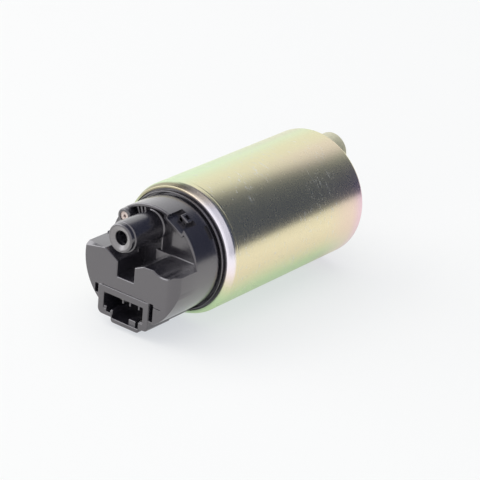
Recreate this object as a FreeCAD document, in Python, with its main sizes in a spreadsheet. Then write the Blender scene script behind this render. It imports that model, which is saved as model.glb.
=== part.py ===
import FreeCAD, Part
import math
import os

import Sketcher

# Electric fuel pump of the in-tank kind: a steel tube holds a moulded end cap with the outlet
# and the connector, a two-pole motor, and a turbine stage with its inlet cover.
# The pump axis is Y. The outlet end faces -Y, the inlet end +Y, and the connector side is down.
# Y is 0 where the straight barrel starts behind the rolled front edge. Sizes are in millimetres.

# How far a cut reaches past the surface that it opens
OVERSHOOT = 1.0

# How near an edge has to be to the place where it is looked for
NEAR = 0.01

os.makedirs("parts", exist_ok=True)
doc = FreeCAD.newDocument("FuelPump")
sheet = doc.addObject("Spreadsheet::Sheet", "Sizes")


class Length:
    """A size with its number and the expression that ties a feature to the sheet."""

    def __init__(self, value, text):
        self.value = float(value)
        self.text = text

    def combined(self, other, sign, value):
        return Length(value, "(" + self.text + " " + sign + " " + other.text + ")")

    def __add__(self, other):
        other = length(other)
        return self.combined(other, "+", self.value + other.value)

    def __radd__(self, other):
        return length(other) + self

    def __sub__(self, other):
        other = length(other)
        return self.combined(other, "-", self.value - other.value)

    def __rsub__(self, other):
        return length(other) - self

    def __mul__(self, other):
        other = length(other)
        return self.combined(other, "*", self.value * other.value)

    def __rmul__(self, other):
        return length(other) * self

    def __truediv__(self, other):
        other = length(other)
        return self.combined(other, "/", self.value / other.value)

    def __rtruediv__(self, other):
        return length(other) / self

    def __neg__(self):
        return Length(-self.value, "(-" + self.text + ")")


def length(value):
    if isinstance(value, Length):
        return value
    return Length(value, repr(float(value)))


class Sizes:
    """The driving dimensions. Each one becomes a named cell of the sheet."""


size = Sizes()


# The driving dimensions
SIZES = {
    # Case
    "case_radius": 19.0,
    "case_wall": 1.2,
    "barrel_length": 59.8,
    "front_curl_length": 2.4,
    "front_curl_drop": 0.9,
    "front_lip_thickness": 0.65,
    "rear_lip_thickness": 0.8,
    "rear_lip_reach": 1.2,
    # End cap
    "drum_step": 1.25,
    "drum_front": 13.2,
    "drum_wall": 1.0,
    "recess_floor": 10.5,
    "front_wall": 3.4,
    "plug_length": 8.0,
    "plug_wall": 3.0,
    "flange_front": 3.2,
    "ledge_height": 4.1,
    "pocket_angle": 61.0,
    "pocket_width": 6.0,
    "pocket_depth": 1.7,
    "pocket_wall": 0.9,
    "pocket_rear": 7.6,
    "snap_width": 2.2,
    "snap_length": 1.7,
    "snap_height": 1.1,
    "window_angle": 39.0,
    "window_width": 4.0,
    "window_depth": 0.9,
    "window_front": 5.3,
    "window_rear": 4.1,
    # Connector tower
    "tower_front": 21.8,
    "tower_underlap": 3.8,
    "tower_corner_rounding": 3.9,
    "tower_corner_margin": 0.3,
    "shoulder_left_top": 3.5,
    "shoulder_left_end": -9.2,
    "shoulder_left_chamfer": 1.2,
    "shoulder_right_top": 2.4,
    "shoulder_right_end": 4.6,
    "trough_width": 5.9,
    "trough_floor": -3.6,
    "trough_bevel_low": 0.9,
    "scoop_centre": 11.2,
    "scoop_radius": 6.0,
    "scoop_low": 1.35,
    "gusset_top": 8.0,
    "gusset_inner": -11.6,
    "gusset_front": 17.7,
    "connector_offset": -1.6,
    # Connector socket
    "socket_width": 13.8,
    "socket_height": 4.7,
    "socket_inset": 6.6,
    "socket_depth": 10.0,
    "latch_width": 9.3,
    "latch_offset": 0.9,
    "latch_depth": 2.1,
    "lug_left": 0.3,
    "lug_width": 2.3,
    "lug_drop": 0.5,
    "lug_setback": 0.7,
    "lug_length": 1.5,
    "notch_left": -7.4,
    "notch_width": 1.5,
    "notch_depth": 0.7,
    "frame_wall": 2.0,
    "frame_corner": 1.6,
    "frame_step": 0.35,
    "latch_drop": 1.4,
    "frame_rear_drop": 2.3,
    "key_rib_first": -0.2,
    "key_rib_second": 2.3,
    "key_rib_third": 5.4,
    "key_rib_width": 0.5,
    "key_rib_height": 1.1,
    "side_slot_width": 1.5,
    "side_slot_drop": 2.8,
    "side_slot_height": 5.0,
    "side_slot_depth": 4.0,
    # Outlet pipe
    "pipe_offset": -1.6,
    "pipe_inset": 6.6,
    "pipe_radius": 4.4,
    "pipe_bore": 2.0,
    "pipe_front": 24.9,
    "pipe_lip_chamfer": 0.5,
    "collar_height": 1.5,
    "collar_step": 0.5,
    "check_chamber_radius": 3.1,
    "check_chamber_front": 18.6,
    # Valves
    "check_seat_length": 1.8,
    "check_seat_bore": 1.5,
    "check_nose_radius": 1.2,
    "check_nose_length": 0.7,
    "check_fin_count": 3,
    "check_head_radius": 2.5,
    "check_head_length": 1.6,
    "check_stem_radius": 0.9,
    "check_stem_front": 15.5,
    "check_fin_reach": 2.9,
    "check_fin_thickness": 0.8,
    "check_spring_radius": 2.6,
    "valve_clearance": 0.1,
    "relief_angle": 129.3,
    "relief_inset": 2.35,
    "relief_boss_radius": 2.2,
    "relief_boss_front": 15.0,
    "relief_chamber_radius": 1.6,
    "relief_seat_length": 1.5,
    "relief_seat_bore": 0.8,
    "relief_nose_radius": 0.6,
    "relief_nose_length": 0.6,
    "relief_head_radius": 1.4,
    "relief_head_length": 0.9,
    "relief_spring_radius": 1.3,
    "relief_plug_length": 1.2,
    "relief_plug_bore": 0.5,
    "relief_plug_step": 0.3,
    "spring_wire": 0.45,
    # Motor
    "shaft_radius": 1.5,
    "shaft_front": 2.6,
    "shaft_flat": 0.45,
    "bearing_clearance": 0.03,
    "bearing_wall": 2.1,
    "bearing_length": 5.0,
    "boss_radius": 5.0,
    "holder_rear": 3.4,
    "commutator_face": 5.5,
    "commutator_radius": 9.8,
    "commutator_thickness": 3.2,
    "commutator_slot": 0.5,
    "commutator_slot_inner": 3.6,
    "commutator_slot_depth": 1.5,
    "shaft_bore_gap": 0.5,
    "armature_front": 12.0,
    "armature_room": 7.0,
    "armature_radius": 12.0,
    "armature_slots": 8,
    "armature_slot_inner": 6.4,
    "armature_slot_outer": 11.0,
    "armature_slot_width": 2.8,
    "armature_slot_mouth": 1.0,
    "winding_overhang": 2.6,
    "winding_clearance": 0.1,
    "winding_inner": 5.4,
    "air_gap": 0.6,
    "magnet_room": 7.5,
    "magnet_half_angle": 66.0,
    "magnet_front": 11.5,
    "clip_sheet": 0.5,
    "clip_inset": 2.5,
    "clip_reach": 3.6,
    "clip_gap_angle": 0.4,
    # Brushes
    "brush_centre": 6.6,
    "brush_width": 4.4,
    "brush_height": 6.0,
    "brush_length": 8.0,
    "brush_clearance": 0.15,
    "holder_wall": 0.9,
    "brush_spring_radius": 1.9,
    "choke_radius": 1.9,
    "choke_length": 9.6,
    "choke_inset": 5.6,
    "terminal_pitch": 6.4,
    "terminal_width": 2.3,
    "terminal_thickness": 0.8,
    "terminal_drop": 2.3,
    "terminal_reach": 5.8,
    "terminal_leg_thickness": 0.5,
    "terminal_leg_rise": 5.0,
    "terminal_leg_inset": 6.9,
    # Pump stage
    "housing_hub_length": 3.0,
    "housing_floor_thickness": 2.6,
    "housing_hub": 6.5,
    "cover_thickness": 4.5,
    "channel_radius": 12.9,
    "channel_width": 3.0,
    "channel_depth": 1.4,
    "channel_sweep": 300.0,
    "impeller_radius": 14.4,
    "impeller_thickness": 3.8,
    "impeller_clearance": 0.05,
    "impeller_rim": 0.5,
    "impeller_side_gap": 0.4,
    "vane_count": 36,
    "vane_depth": 2.3,
    "vane_gap": 0.9,
    "rear_bearing_length": 4.8,
    "shaft_pass": 0.4,
    "thrust_radius": 2.0,
    "thrust_thickness": 1.2,
    "thrust_depth": 0.6,
    "thrust_gap": 0.1,
    "cover_proud": 0.6,
    "cover_gap": 0.3,
    "port_depth": 2.0,
    "nozzle_inset": 6.0,
    "nozzle_radius": 5.4,
    "nozzle_bore": 4.2,
    "nozzle_length": 9.2,
    "nozzle_chamfer": 0.5,
    "discharge_port": 1.3,
}

for row, (name, value) in enumerate(SIZES.items(), 1):
    sheet.set("A%d" % row, name)
    sheet.set("B%d" % row, str(value))
    sheet.setAlias("B%d" % row, name)
    setattr(size, name, Length(value, "Sizes." + name))
doc.recompute()


def sine(angle):
    return Length(math.sin(math.radians(angle.value)), "sin(" + angle.text + " * 1deg)")


def cosine(angle):
    return Length(math.cos(math.radians(angle.value)), "cos(" + angle.text + " * 1deg)")


class Corner:
    """A corner of an outline. An arc is the radius, about the sketch's origin, of the edge that follows."""

    def __init__(self, x, y, rounding=None, arc=None, side=1):
        self.y = length(y)
        self.free = x is None
        self.rounding = rounding
        self.arc = arc
        self.side = side
        self.x = None if self.free else length(x)

    def point(self, radius=None):
        if self.free:
            across = math.sqrt(radius.value ** 2 - self.y.value ** 2)
            return FreeCAD.Vector(self.side * across, self.y.value, 0)
        return FreeCAD.Vector(self.x.value, self.y.value, 0)


def bind(sketch, constraint, value):
    """Adds a constraint of one size and ties it to the sheet."""
    index = sketch.addConstraint(constraint)
    sketch.setExpression("Constraints[%d]" % index, value.text)


def place_point(sketch, geometry, end, x, y):
    for kind, value in (("DistanceX", x), ("DistanceY", y)):
        if value is not None:
            bind(sketch, Sketcher.Constraint(kind, -1, 1, geometry, end, value.value), value)


def add_outline(sketch, corners):
    """Draws a closed outline of lines, arcs about the origin and rounded corners."""
    count = len(corners)
    points = []
    for i, corner in enumerate(corners):
        radius = corner.arc or corners[i - 1].arc
        points.append(corner.point(radius))
    starts = list(points)
    ends = [points[(i + 1) % count] for i in range(count)]
    turns = {}
    for i, corner in enumerate(corners):
        if corner.rounding is None:
            continue
        before = (points[i - 1] - points[i]).normalize()
        after = (points[(i + 1) % count] - points[i]).normalize()
        half = before.getAngle(after) / 2
        reach = corner.rounding.value / math.tan(half)
        starts[i] = points[i] + after * reach
        ends[i - 1] = points[i] + before * reach
        middle = (before + after).normalize() * (corner.rounding.value / math.sin(half))
        turns[i] = points[i] + middle
    edges = []
    for i, corner in enumerate(corners):
        if corner.arc is None:
            line = Part.LineSegment(starts[i], ends[i])
            edges.append((sketch.addGeometry(line, False), 1, 2))
            continue
        circle = Part.Circle(FreeCAD.Vector(0, 0, 0), FreeCAD.Vector(0, 0, 1), corner.arc.value)
        first = math.atan2(starts[i].y, starts[i].x)
        last = math.atan2(ends[i].y, ends[i].x)
        anticlockwise = starts[i].cross(ends[i]).z > 0
        low, high = (first, last) if anticlockwise else (last, first)
        arc = sketch.addGeometry(Part.ArcOfCircle(circle, low, high), False)
        sketch.addConstraint(Sketcher.Constraint("Coincident", arc, 3, -1, 1))
        bind(sketch, Sketcher.Constraint("Radius", arc, corner.arc.value), corner.arc)
        edges.append((arc, 1, 2) if anticlockwise else (arc, 2, 1))
    for i, corner in enumerate(corners):
        edge, edge_start, edge_end = edges[i]
        previous, previous_start, previous_end = edges[i - 1]
        if corner.rounding is None:
            sketch.addConstraint(
                Sketcher.Constraint("Coincident", previous, previous_end, edge, edge_start)
            )
            place_point(sketch, edge, edge_start, corner.x, corner.y)
            continue
        centre = turns[i]
        start = ends[i - 1] - centre
        finish = starts[i] - centre
        first = math.atan2(start.y, start.x)
        last = math.atan2(finish.y, finish.x)
        anticlockwise = start.cross(finish).z > 0
        low, high = (first, last) if anticlockwise else (last, first)
        circle = Part.Circle(centre, FreeCAD.Vector(0, 0, 1), corner.rounding.value)
        arc = sketch.addGeometry(Part.ArcOfCircle(circle, low, high), False)
        near, far = (1, 2) if anticlockwise else (2, 1)
        sketch.addConstraint(Sketcher.Constraint("Tangent", previous, previous_end, arc, near))
        sketch.addConstraint(Sketcher.Constraint("Tangent", arc, far, edge, edge_start))
        bind(sketch, Sketcher.Constraint("Radius", arc, corner.rounding.value), corner.rounding)
        mark = sketch.addGeometry(Part.Point(points[i]), True)
        place_point(sketch, mark, 1, corner.x, corner.y)
        sketch.addConstraint(Sketcher.Constraint("PointOnObject", mark, 1, previous))
        sketch.addConstraint(Sketcher.Constraint("PointOnObject", mark, 1, edge))


def add_circle(sketch, x, y, radius):
    centre = FreeCAD.Vector(length(x).value, length(y).value, 0)
    circle = Part.Circle(centre, FreeCAD.Vector(0, 0, 1), radius.value)
    index = sketch.addGeometry(circle, False)
    bind(sketch, Sketcher.Constraint("Radius", index, radius.value), radius)
    place_point(sketch, index, 3, length(x), length(y))


def rectangle(left, right, low, high):
    return [Corner(left, low), Corner(right, low), Corner(right, high), Corner(left, high)]


def polygon(reach, sides):
    """Corners of an even polygon. The first one lies on the x axis."""
    corners = []
    for i in range(int(sides.value)):
        angle = 360.0 / sides * i
        corners.append(Corner(reach * cosine(angle), reach * sine(angle)))
    return corners


class Piece:
    """One sub-part, made as a body of sketched features along the pump axis."""

    def __init__(self, label, x=None, z=None):
        self.label = label
        self.body = doc.addObject("PartDesign::Body", "Body_" + label)
        self.body.Label = label
        self.count = 0
        if x is not None:
            self.body.setExpression("Placement.Base.x", length(x).text)
            self.body.setExpression("Placement.Base.z", length(z).text)
        doc.recompute()

    def sketch(self, role, offset=None):
        """Makes a sketch on one of the body's own planes, moved along the plane's normal."""
        self.count += 1
        plane = [item for item in self.body.Origin.OriginFeatures if item.Role == role][0]
        sketch = self.body.newObject("Sketcher::SketchObject", "Sketch_%s_%d" % (self.label, self.count))
        sketch.AttachmentSupport = [(plane, "")]
        sketch.MapMode = "FlatFace"
        if offset is not None:
            sketch.setExpression("AttachmentOffset.Base.z", offset.text)
        return sketch

    def feature(self, kind, sketch):
        self.count += 1
        name = "%s_%s_%d" % (kind.split("::")[1], self.label, self.count)
        feature = self.body.newObject(kind, name)
        feature.Profile = sketch
        return feature

    def settle(self, feature, cuts):
        """Recomputes and makes sure that the feature changed the solid as it should."""
        before = feature.BaseFeature.Shape.Volume if feature.BaseFeature else 0.0
        doc.recompute()
        change = feature.Shape.Volume - before
        if "Invalid" in feature.State or "Error" in feature.State or change == 0:
            raise RuntimeError("%s did not work" % feature.Name)
        if (change < 0) != cuts:
            raise RuntimeError("%s went the wrong way" % feature.Name)
        return feature

    def turn(self, corners, cuts=False, sweep=None):
        """Revolves an outline of (radius, y) corners about the pump's axis direction."""
        sketch = self.sketch("XY_Plane")
        add_outline(sketch, corners)
        kind = "PartDesign::Groove" if cuts else "PartDesign::Revolution"
        feature = self.feature(kind, sketch)
        feature.ReferenceAxis = (sketch, ["V_Axis"])
        feature.Angle = 360
        if sweep is not None:
            feature.setExpression("Angle", sweep.text)
        return self.settle(feature, cuts)

    def extrude(self, role, draw, start, end, cuts=False, turned_by=None):
        """Pads or cuts a drawn shape between two places along the plane's axis."""
        start = length(start)
        end = length(end)
        if role == "XZ_Plane":
            offset = -start if cuts else -end
        else:
            offset = end if cuts else start
        sketch = self.sketch(role, offset)
        if turned_by is not None:
            rotation = FreeCAD.Rotation(FreeCAD.Vector(0, 0, 1), turned_by.value)
            sketch.AttachmentOffset = FreeCAD.Placement(FreeCAD.Vector(0, 0, offset.value), rotation)
            sketch.setExpression("AttachmentOffset.Rotation.Angle", turned_by.text)
        draw(sketch)
        feature = self.feature("PartDesign::Pocket" if cuts else "PartDesign::Pad", sketch)
        feature.setExpression("Length", (end - start).text)
        return self.settle(feature, cuts)

    def pad_outline(self, corners, front, rear, turned_by=None):
        def draw(sketch):
            add_outline(sketch, corners)
        return self.extrude("XZ_Plane", draw, front, rear, False, turned_by)

    def cut_outline(self, corners, front, rear, turned_by=None):
        def draw(sketch):
            add_outline(sketch, corners)
        return self.extrude("XZ_Plane", draw, front, rear, True, turned_by)

    def pad_circle(self, x, z, radius, front, rear):
        def draw(sketch):
            add_circle(sketch, x, z, radius)
        return self.extrude("XZ_Plane", draw, front, rear)

    def cut_circle(self, x, z, radius, front, rear):
        def draw(sketch):
            add_circle(sketch, x, z, radius)
        return self.extrude("XZ_Plane", draw, front, rear, True)

    def across(self, corners, left, right, cuts=False):
        """Pads or cuts an outline drawn in Y and Z, from one x to another."""
        def draw(sketch):
            add_outline(sketch, corners)
        return self.extrude("YZ_Plane", draw, left, right, cuts)

    def upright(self, corners, low, high, cuts=False):
        """Pads or cuts an outline drawn in X and Y, from one z to another."""
        def draw(sketch):
            add_outline(sketch, corners)
        return self.extrude("XY_Plane", draw, low, high, cuts)

    def repeat_round(self, feature, count):
        """Repeats a feature evenly round the pump axis."""
        pattern = self.body.newObject("PartDesign::PolarPattern", "Round_" + feature.Name)
        pattern.Originals = [feature]
        axis = [item for item in self.body.Origin.OriginFeatures if item.Role == "Y_Axis"][0]
        pattern.Axis = (axis, [""])
        pattern.Angle = 360
        pattern.Occurrences = int(length(count).value)
        if isinstance(count, Length):
            pattern.setExpression("Occurrences", count.text)
        self.body.Tip = pattern
        doc.recompute()

    def dress(self, kind, amount, chosen):
        """Adds a fillet or chamfer on the edges that a test picks from the solid so far."""
        tip = self.body.Tip
        names = ["Edge%d" % (i + 1) for i, edge in enumerate(tip.Shape.Edges) if chosen(edge)]
        if not names:
            raise RuntimeError("no edge to dress on " + self.label)
        self.count += 1
        feature = self.body.newObject("PartDesign::" + kind, "%s_%s_%d" % (kind, self.label, self.count))
        feature.Base = (tip, names)
        feature.setExpression("Radius" if kind == "Fillet" else "Size", amount.text)
        doc.recompute()
        return feature


pieces = []


def piece(label, x=None, z=None):
    made = Piece(label, x, z)
    pieces.append(made.body)
    return made


def turned(label, corners, x=None, z=None):
    made = piece(label, x, z)
    made.turn(corners)
    return made


def ring_outline(inner, outer, front, rear):
    return [Corner(inner, front), Corner(outer, front), Corner(outer, rear), Corner(inner, rear)]


# Places that several pieces share

inner_radius = size.case_radius - size.case_wall
curl_tip_radius = size.case_radius - size.front_curl_drop
lip_bore = curl_tip_radius - size.front_lip_thickness
drum_radius = lip_bore - size.drum_step
cavity_radius = inner_radius - size.plug_wall
cavity_front = size.front_wall - size.recess_floor
drum_front = -size.drum_front
tower_front = -size.tower_front
rear_lip_front = size.barrel_length - size.rear_lip_thickness
rear_lip_bore = inner_radius - size.rear_lip_reach
commutator_rear = size.commutator_face + size.commutator_thickness
brush_front = size.commutator_face - size.brush_length
bearing_radius = size.shaft_radius + size.bearing_wall
bearing_front = size.holder_rear - size.bearing_length
cover_front = rear_lip_front - size.cover_thickness
housing_floor = cover_front - size.impeller_thickness - size.impeller_clearance * 2
housing_face = housing_floor - size.housing_floor_thickness
housing_front = housing_face - size.housing_hub_length
armature_rear = housing_front - size.armature_room
magnet_rear = housing_face - size.magnet_room
thrust_face = cover_front + size.thrust_depth
shaft_rear = thrust_face - size.thrust_gap
socket_top = size.socket_inset - drum_radius
socket_floor = socket_top - size.socket_height
tower_low = socket_top - size.tower_underlap
socket_left = size.connector_offset - size.socket_width / 2
socket_right = size.connector_offset + size.socket_width / 2
socket_rear = tower_front + size.socket_depth
latch_left = size.connector_offset + size.latch_offset - size.latch_width / 2
latch_right = size.connector_offset + size.latch_offset + size.latch_width / 2
pipe_height = drum_radius - size.pipe_inset
relief_offset = (drum_radius - size.relief_inset) * cosine(size.relief_angle)
relief_height = (drum_radius - size.relief_inset) * sine(size.relief_angle)
check_seat_front = cavity_front - size.check_seat_length
check_head_rear = check_seat_front - size.valve_clearance
check_head_front = check_head_rear - size.check_head_length
relief_seat_face = cavity_front - size.relief_seat_length
relief_head_rear = relief_seat_face - size.valve_clearance
relief_head_front = relief_head_rear - size.relief_head_length
relief_plug_front = size.relief_plug_step - size.relief_boss_front
relief_plug_rear = relief_plug_front + size.relief_plug_length
terminal_height = socket_top - size.terminal_drop
terminal_leg_rear = cavity_front + size.terminal_leg_thickness


def case_tube():
    """Steel tube, rolled in over the end cap at the front and over the inlet cover at the rear."""
    made = piece("case_tube")
    made.turn([
        Corner(lip_bore, -size.front_curl_length),
        Corner(curl_tip_radius, -size.front_curl_length),
        Corner(size.case_radius, 0.0),
        Corner(size.case_radius, size.barrel_length),
        Corner(rear_lip_bore, size.barrel_length),
        Corner(rear_lip_bore, rear_lip_front),
        Corner(inner_radius, rear_lip_front),
        Corner(inner_radius, 0.0),
        Corner(lip_bore, 0.0),
    ])


def cap_shell(made):
    """Drum, recess, flange and plug, with the cavity."""
    drum = drum_radius
    made.turn([
        Corner(0.0, -size.recess_floor),
        Corner(drum - size.drum_wall, -size.recess_floor),
        Corner(drum - size.drum_wall, drum_front),
        Corner(drum, drum_front),
        Corner(drum, -size.flange_front),
        Corner(lip_bore, -size.flange_front),
        Corner(lip_bore, 0.0),
        Corner(inner_radius, 0.0),
        Corner(inner_radius, size.plug_length),
        Corner(cavity_radius, size.plug_length),
        Corner(cavity_radius, cavity_front),
        Corner(0.0, cavity_front),
    ])


def cap_tower(made):
    """Connector tower in front of the drum: two shoulders beside the trough, a gusset and a scoop."""
    trough_left = size.connector_offset - size.trough_width / 2
    trough_right = size.connector_offset + size.trough_width / 2
    beyond = size.case_radius
    made.pad_outline(
        [
            Corner(-beyond, tower_low),
            Corner(beyond, tower_low),
            Corner(beyond, size.shoulder_right_top),
            Corner(size.shoulder_right_end, size.shoulder_right_top),
            Corner(trough_right, size.trough_bevel_low),
            Corner(trough_right, size.trough_floor),
            Corner(trough_left, size.trough_floor),
            Corner(trough_left, size.trough_bevel_low),
            Corner(size.shoulder_left_end, size.shoulder_left_top),
            Corner(-beyond, size.shoulder_left_top),
        ],
        tower_front,
        drum_front,
    )
    made.across(
        [
            Corner(-size.gusset_front, size.shoulder_left_top - size.shoulder_left_chamfer),
            Corner(-size.gusset_front, size.shoulder_left_top),
            Corner(drum_front, size.gusset_top),
            Corner(drum_front, size.shoulder_left_top - size.shoulder_left_chamfer),
        ],
        -beyond,
        size.gusset_inner,
    )
    made.turn(ring_outline(drum_radius, beyond * 2, tower_front - OVERSHOOT, drum_front), cuts=True)

    # The tower runs back under the recess to its floor
    inside = drum_radius - size.drum_wall / 2
    made.pad_outline(
        [
            Corner(None, size.ledge_height, arc=inside),
            Corner(None, tower_low),
            Corner(trough_right, tower_low),
            Corner(trough_right, size.ledge_height),
        ],
        drum_front,
        -size.recess_floor,
    )
    made.pad_outline(
        [
            Corner(trough_left, size.shoulder_left_top),
            Corner(trough_left, tower_low),
            Corner(None, tower_low, arc=inside, side=-1),
            Corner(None, size.shoulder_left_top, side=-1),
        ],
        drum_front,
        -size.recess_floor,
    )
    made.pad_outline(
        rectangle(trough_left, trough_right, tower_low, size.trough_floor),
        drum_front,
        -size.recess_floor,
    )
    made.across(
        [
            Corner(tower_front, size.shoulder_left_top - size.shoulder_left_chamfer),
            Corner(tower_front + size.shoulder_left_chamfer, size.shoulder_left_top),
            Corner(tower_front, size.shoulder_left_top),
        ],
        -beyond,
        size.connector_offset,
        cuts=True,
    )
    made.cut_circle(
        size.scoop_centre,
        size.scoop_low + size.scoop_radius,
        size.scoop_radius,
        tower_front,
        drum_front,
    )
    corner_x = drum_radius + size.tower_corner_margin
    made.upright(
        [
            Corner(0.0, tower_front - OVERSHOOT),
            Corner(beyond, tower_front - OVERSHOOT),
            Corner(beyond, drum_front - OVERSHOOT),
            Corner(corner_x, drum_front - OVERSHOOT),
            Corner(corner_x, tower_front, size.tower_corner_rounding),
            Corner(0.0, tower_front),
        ],
        tower_low - OVERSHOOT,
        size.gusset_top,
        cuts=True,
    )


def cap_connector(made):
    """Connector frame under the tower, its socket, latch recess with a lug, and key ribs."""
    frame_left = socket_left - size.frame_wall
    frame_right = socket_right + size.frame_wall
    frame_low = socket_floor - size.frame_wall
    made.pad_outline(
        [
            Corner(frame_left, frame_low, size.frame_corner),
            Corner(frame_right, frame_low, size.frame_corner),
            Corner(frame_right, socket_top + size.frame_wall),
            Corner(frame_left, socket_top + size.frame_wall),
        ],
        tower_front,
        drum_front,
    )
    made.pad_outline(
        rectangle(
            latch_left - size.frame_step,
            latch_right + size.frame_step,
            frame_low - size.latch_drop,
            frame_low + size.frame_step,
        ),
        tower_front,
        drum_front,
    )
    made.pad_outline(
        rectangle(
            frame_left + size.frame_wall,
            frame_right - size.frame_wall / 2,
            socket_floor - size.frame_rear_drop,
            tower_low,
        ),
        drum_front,
        -size.flange_front,
    )
    made.cut_outline(
        rectangle(socket_left, socket_right, socket_floor, socket_top), tower_front, socket_rear
    )
    made.cut_outline(
        rectangle(latch_left, latch_right, socket_floor - size.latch_depth, socket_floor + size.frame_step),
        tower_front,
        socket_rear,
    )
    made.cut_outline(
        rectangle(
            size.notch_left,
            size.notch_left + size.notch_width,
            socket_floor - size.notch_depth,
            socket_floor + size.frame_step,
        ),
        tower_front,
        socket_rear,
    )
    lug_front = tower_front + size.lug_setback
    lug_top = socket_floor - size.lug_drop
    lug_low = socket_floor - size.latch_depth - size.frame_step
    made.across(
        [
            Corner(lug_front, lug_low),
            Corner(lug_front, lug_top),
            Corner(lug_front + size.lug_length, lug_top),
            Corner(socket_rear, lug_low),
        ],
        size.lug_left,
        size.lug_left + size.lug_width,
    )
    for place in (size.key_rib_first, size.key_rib_second, size.key_rib_third):
        centre = size.connector_offset + place
        made.pad_outline(
            rectangle(
                centre - size.key_rib_width / 2,
                centre + size.key_rib_width / 2,
                socket_top - size.key_rib_height,
                socket_top + size.frame_step,
            ),
            tower_front + size.frame_step,
            socket_rear,
        )
    slot_low = socket_top - size.side_slot_drop
    for side in (-1, 1):
        near = size.connector_offset + (size.socket_width / 2 + size.frame_wall) * side
        far = near + size.side_slot_width * side
        left, right = (far, near) if side < 0 else (near, far)
        made.cut_outline(
            rectangle(left, right, slot_low, slot_low + size.side_slot_height),
            tower_front,
            tower_front + size.side_slot_depth,
        )
    for side in (-1, 1):
        pin = size.connector_offset + size.terminal_pitch / 2 * side
        made.cut_outline(
            rectangle(
                pin - size.terminal_width / 2,
                pin + size.terminal_width / 2,
                terminal_height - size.terminal_thickness / 2,
                terminal_height + size.terminal_thickness / 2,
            ),
            socket_rear,
            cavity_front,
        )


def cap_wall_details(made):
    """Pocket with its snap lug and the small window in the side of the drum."""
    half = size.pocket_width / 2
    behind = drum_radius - size.drum_wall / 2
    pocket_radius = drum_radius - size.pocket_depth
    window_radius = drum_radius - size.window_depth
    turned_by = size.pocket_angle
    made.pad_outline(
        rectangle(
            pocket_radius - size.pocket_wall, behind, -half - size.pocket_wall, half + size.pocket_wall
        ),
        drum_front,
        -size.recess_floor,
        turned_by,
    )
    made.cut_outline(
        rectangle(pocket_radius, size.case_radius, -half, half), drum_front, -size.pocket_rear, turned_by
    )
    made.pad_outline(
        rectangle(
            pocket_radius - size.pocket_wall / 2,
            pocket_radius + size.snap_height,
            -size.snap_width / 2,
            size.snap_width / 2,
        ),
        -size.pocket_rear - size.snap_length,
        -size.pocket_rear,
        turned_by,
    )
    made.cut_outline(
        rectangle(window_radius, size.case_radius, -size.window_width / 2, size.window_width / 2),
        -size.window_front,
        -size.window_rear,
        size.window_angle,
    )


def cap_ports(made):
    """Outlet pipe, relief boss, and the bores through the cap's front wall."""
    floor = -size.recess_floor
    made.pad_circle(size.pipe_offset, pipe_height, size.pipe_radius, -size.pipe_front, floor)
    made.pad_circle(
        size.pipe_offset,
        pipe_height,
        size.pipe_radius + size.collar_step,
        floor - size.collar_height,
        floor,
    )
    made.pad_circle(
        relief_offset, relief_height, size.relief_boss_radius, -size.relief_boss_front, cavity_front
    )
    made.cut_circle(size.pipe_offset, pipe_height, size.pipe_bore, -size.pipe_front, cavity_front)
    made.cut_circle(
        size.pipe_offset,
        pipe_height,
        size.check_chamber_radius,
        -size.check_chamber_front,
        cavity_front,
    )
    made.cut_circle(
        relief_offset, relief_height, size.relief_seat_bore, -size.relief_boss_front, cavity_front
    )
    made.cut_circle(
        relief_offset,
        relief_height,
        size.relief_chamber_radius,
        -size.relief_boss_front,
        relief_seat_face,
    )

    def is_pipe_mouth(edge):
        at_front = abs(edge.CenterOfMass.y + size.pipe_front.value) < NEAR
        return at_front and abs(edge.Length - 2 * math.pi * size.pipe_radius.value) < NEAR

    made.dress("Chamfer", size.pipe_lip_chamfer, is_pipe_mouth)


def cap_holders(made):
    """Bearing boss and brush holders, which stand in the cavity and open to the rear."""
    bore_width = size.brush_width / 2 + size.brush_clearance
    bore_height = size.brush_height / 2 + size.brush_clearance
    wide = bore_width + size.holder_wall
    high = bore_height + size.holder_wall
    made.pad_circle(0.0, 0.0, size.boss_radius, cavity_front, size.holder_rear)
    for side in (-1, 1):
        centre = size.brush_centre * side
        made.pad_outline(
            rectangle(centre - wide, centre + wide, -high, high), cavity_front, size.holder_rear
        )
    shaft_bore = size.shaft_radius + size.shaft_bore_gap
    made.cut_circle(0.0, 0.0, shaft_bore, -size.shaft_front - size.shaft_bore_gap, size.holder_rear)
    made.cut_circle(0.0, 0.0, bearing_radius, bearing_front, size.holder_rear)
    for side in (-1, 1):
        centre = size.brush_centre * side
        made.cut_outline(
            rectangle(centre - bore_width, centre + bore_width, -bore_height, bore_height),
            cavity_front,
            size.holder_rear,
        )


def end_cap():
    """Moulded end cap, the piece that takes the most skill."""
    made = piece("end_cap")
    cap_shell(made)
    cap_tower(made)
    cap_connector(made)
    cap_wall_details(made)
    cap_ports(made)
    cap_holders(made)


def bearing(label, front, rear):
    """Sintered bush."""
    turned(label, ring_outline(size.shaft_radius + size.bearing_clearance, bearing_radius, front, rear))


def shaft():
    """Ground shaft with two flats at the rear that drive the impeller."""
    made = turned("shaft", [
        Corner(0.0, -size.shaft_front),
        Corner(size.shaft_radius, -size.shaft_front),
        Corner(size.shaft_radius, shaft_rear),
        Corner(0.0, shaft_rear),
    ])
    flat = size.shaft_radius - size.shaft_flat
    beyond = size.shaft_radius + OVERSHOOT
    for low, high in ((-beyond, -flat), (flat, beyond)):
        made.cut_outline(
            rectangle(-beyond, beyond, low, high), housing_floor - size.impeller_clearance, shaft_rear
        )


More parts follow.
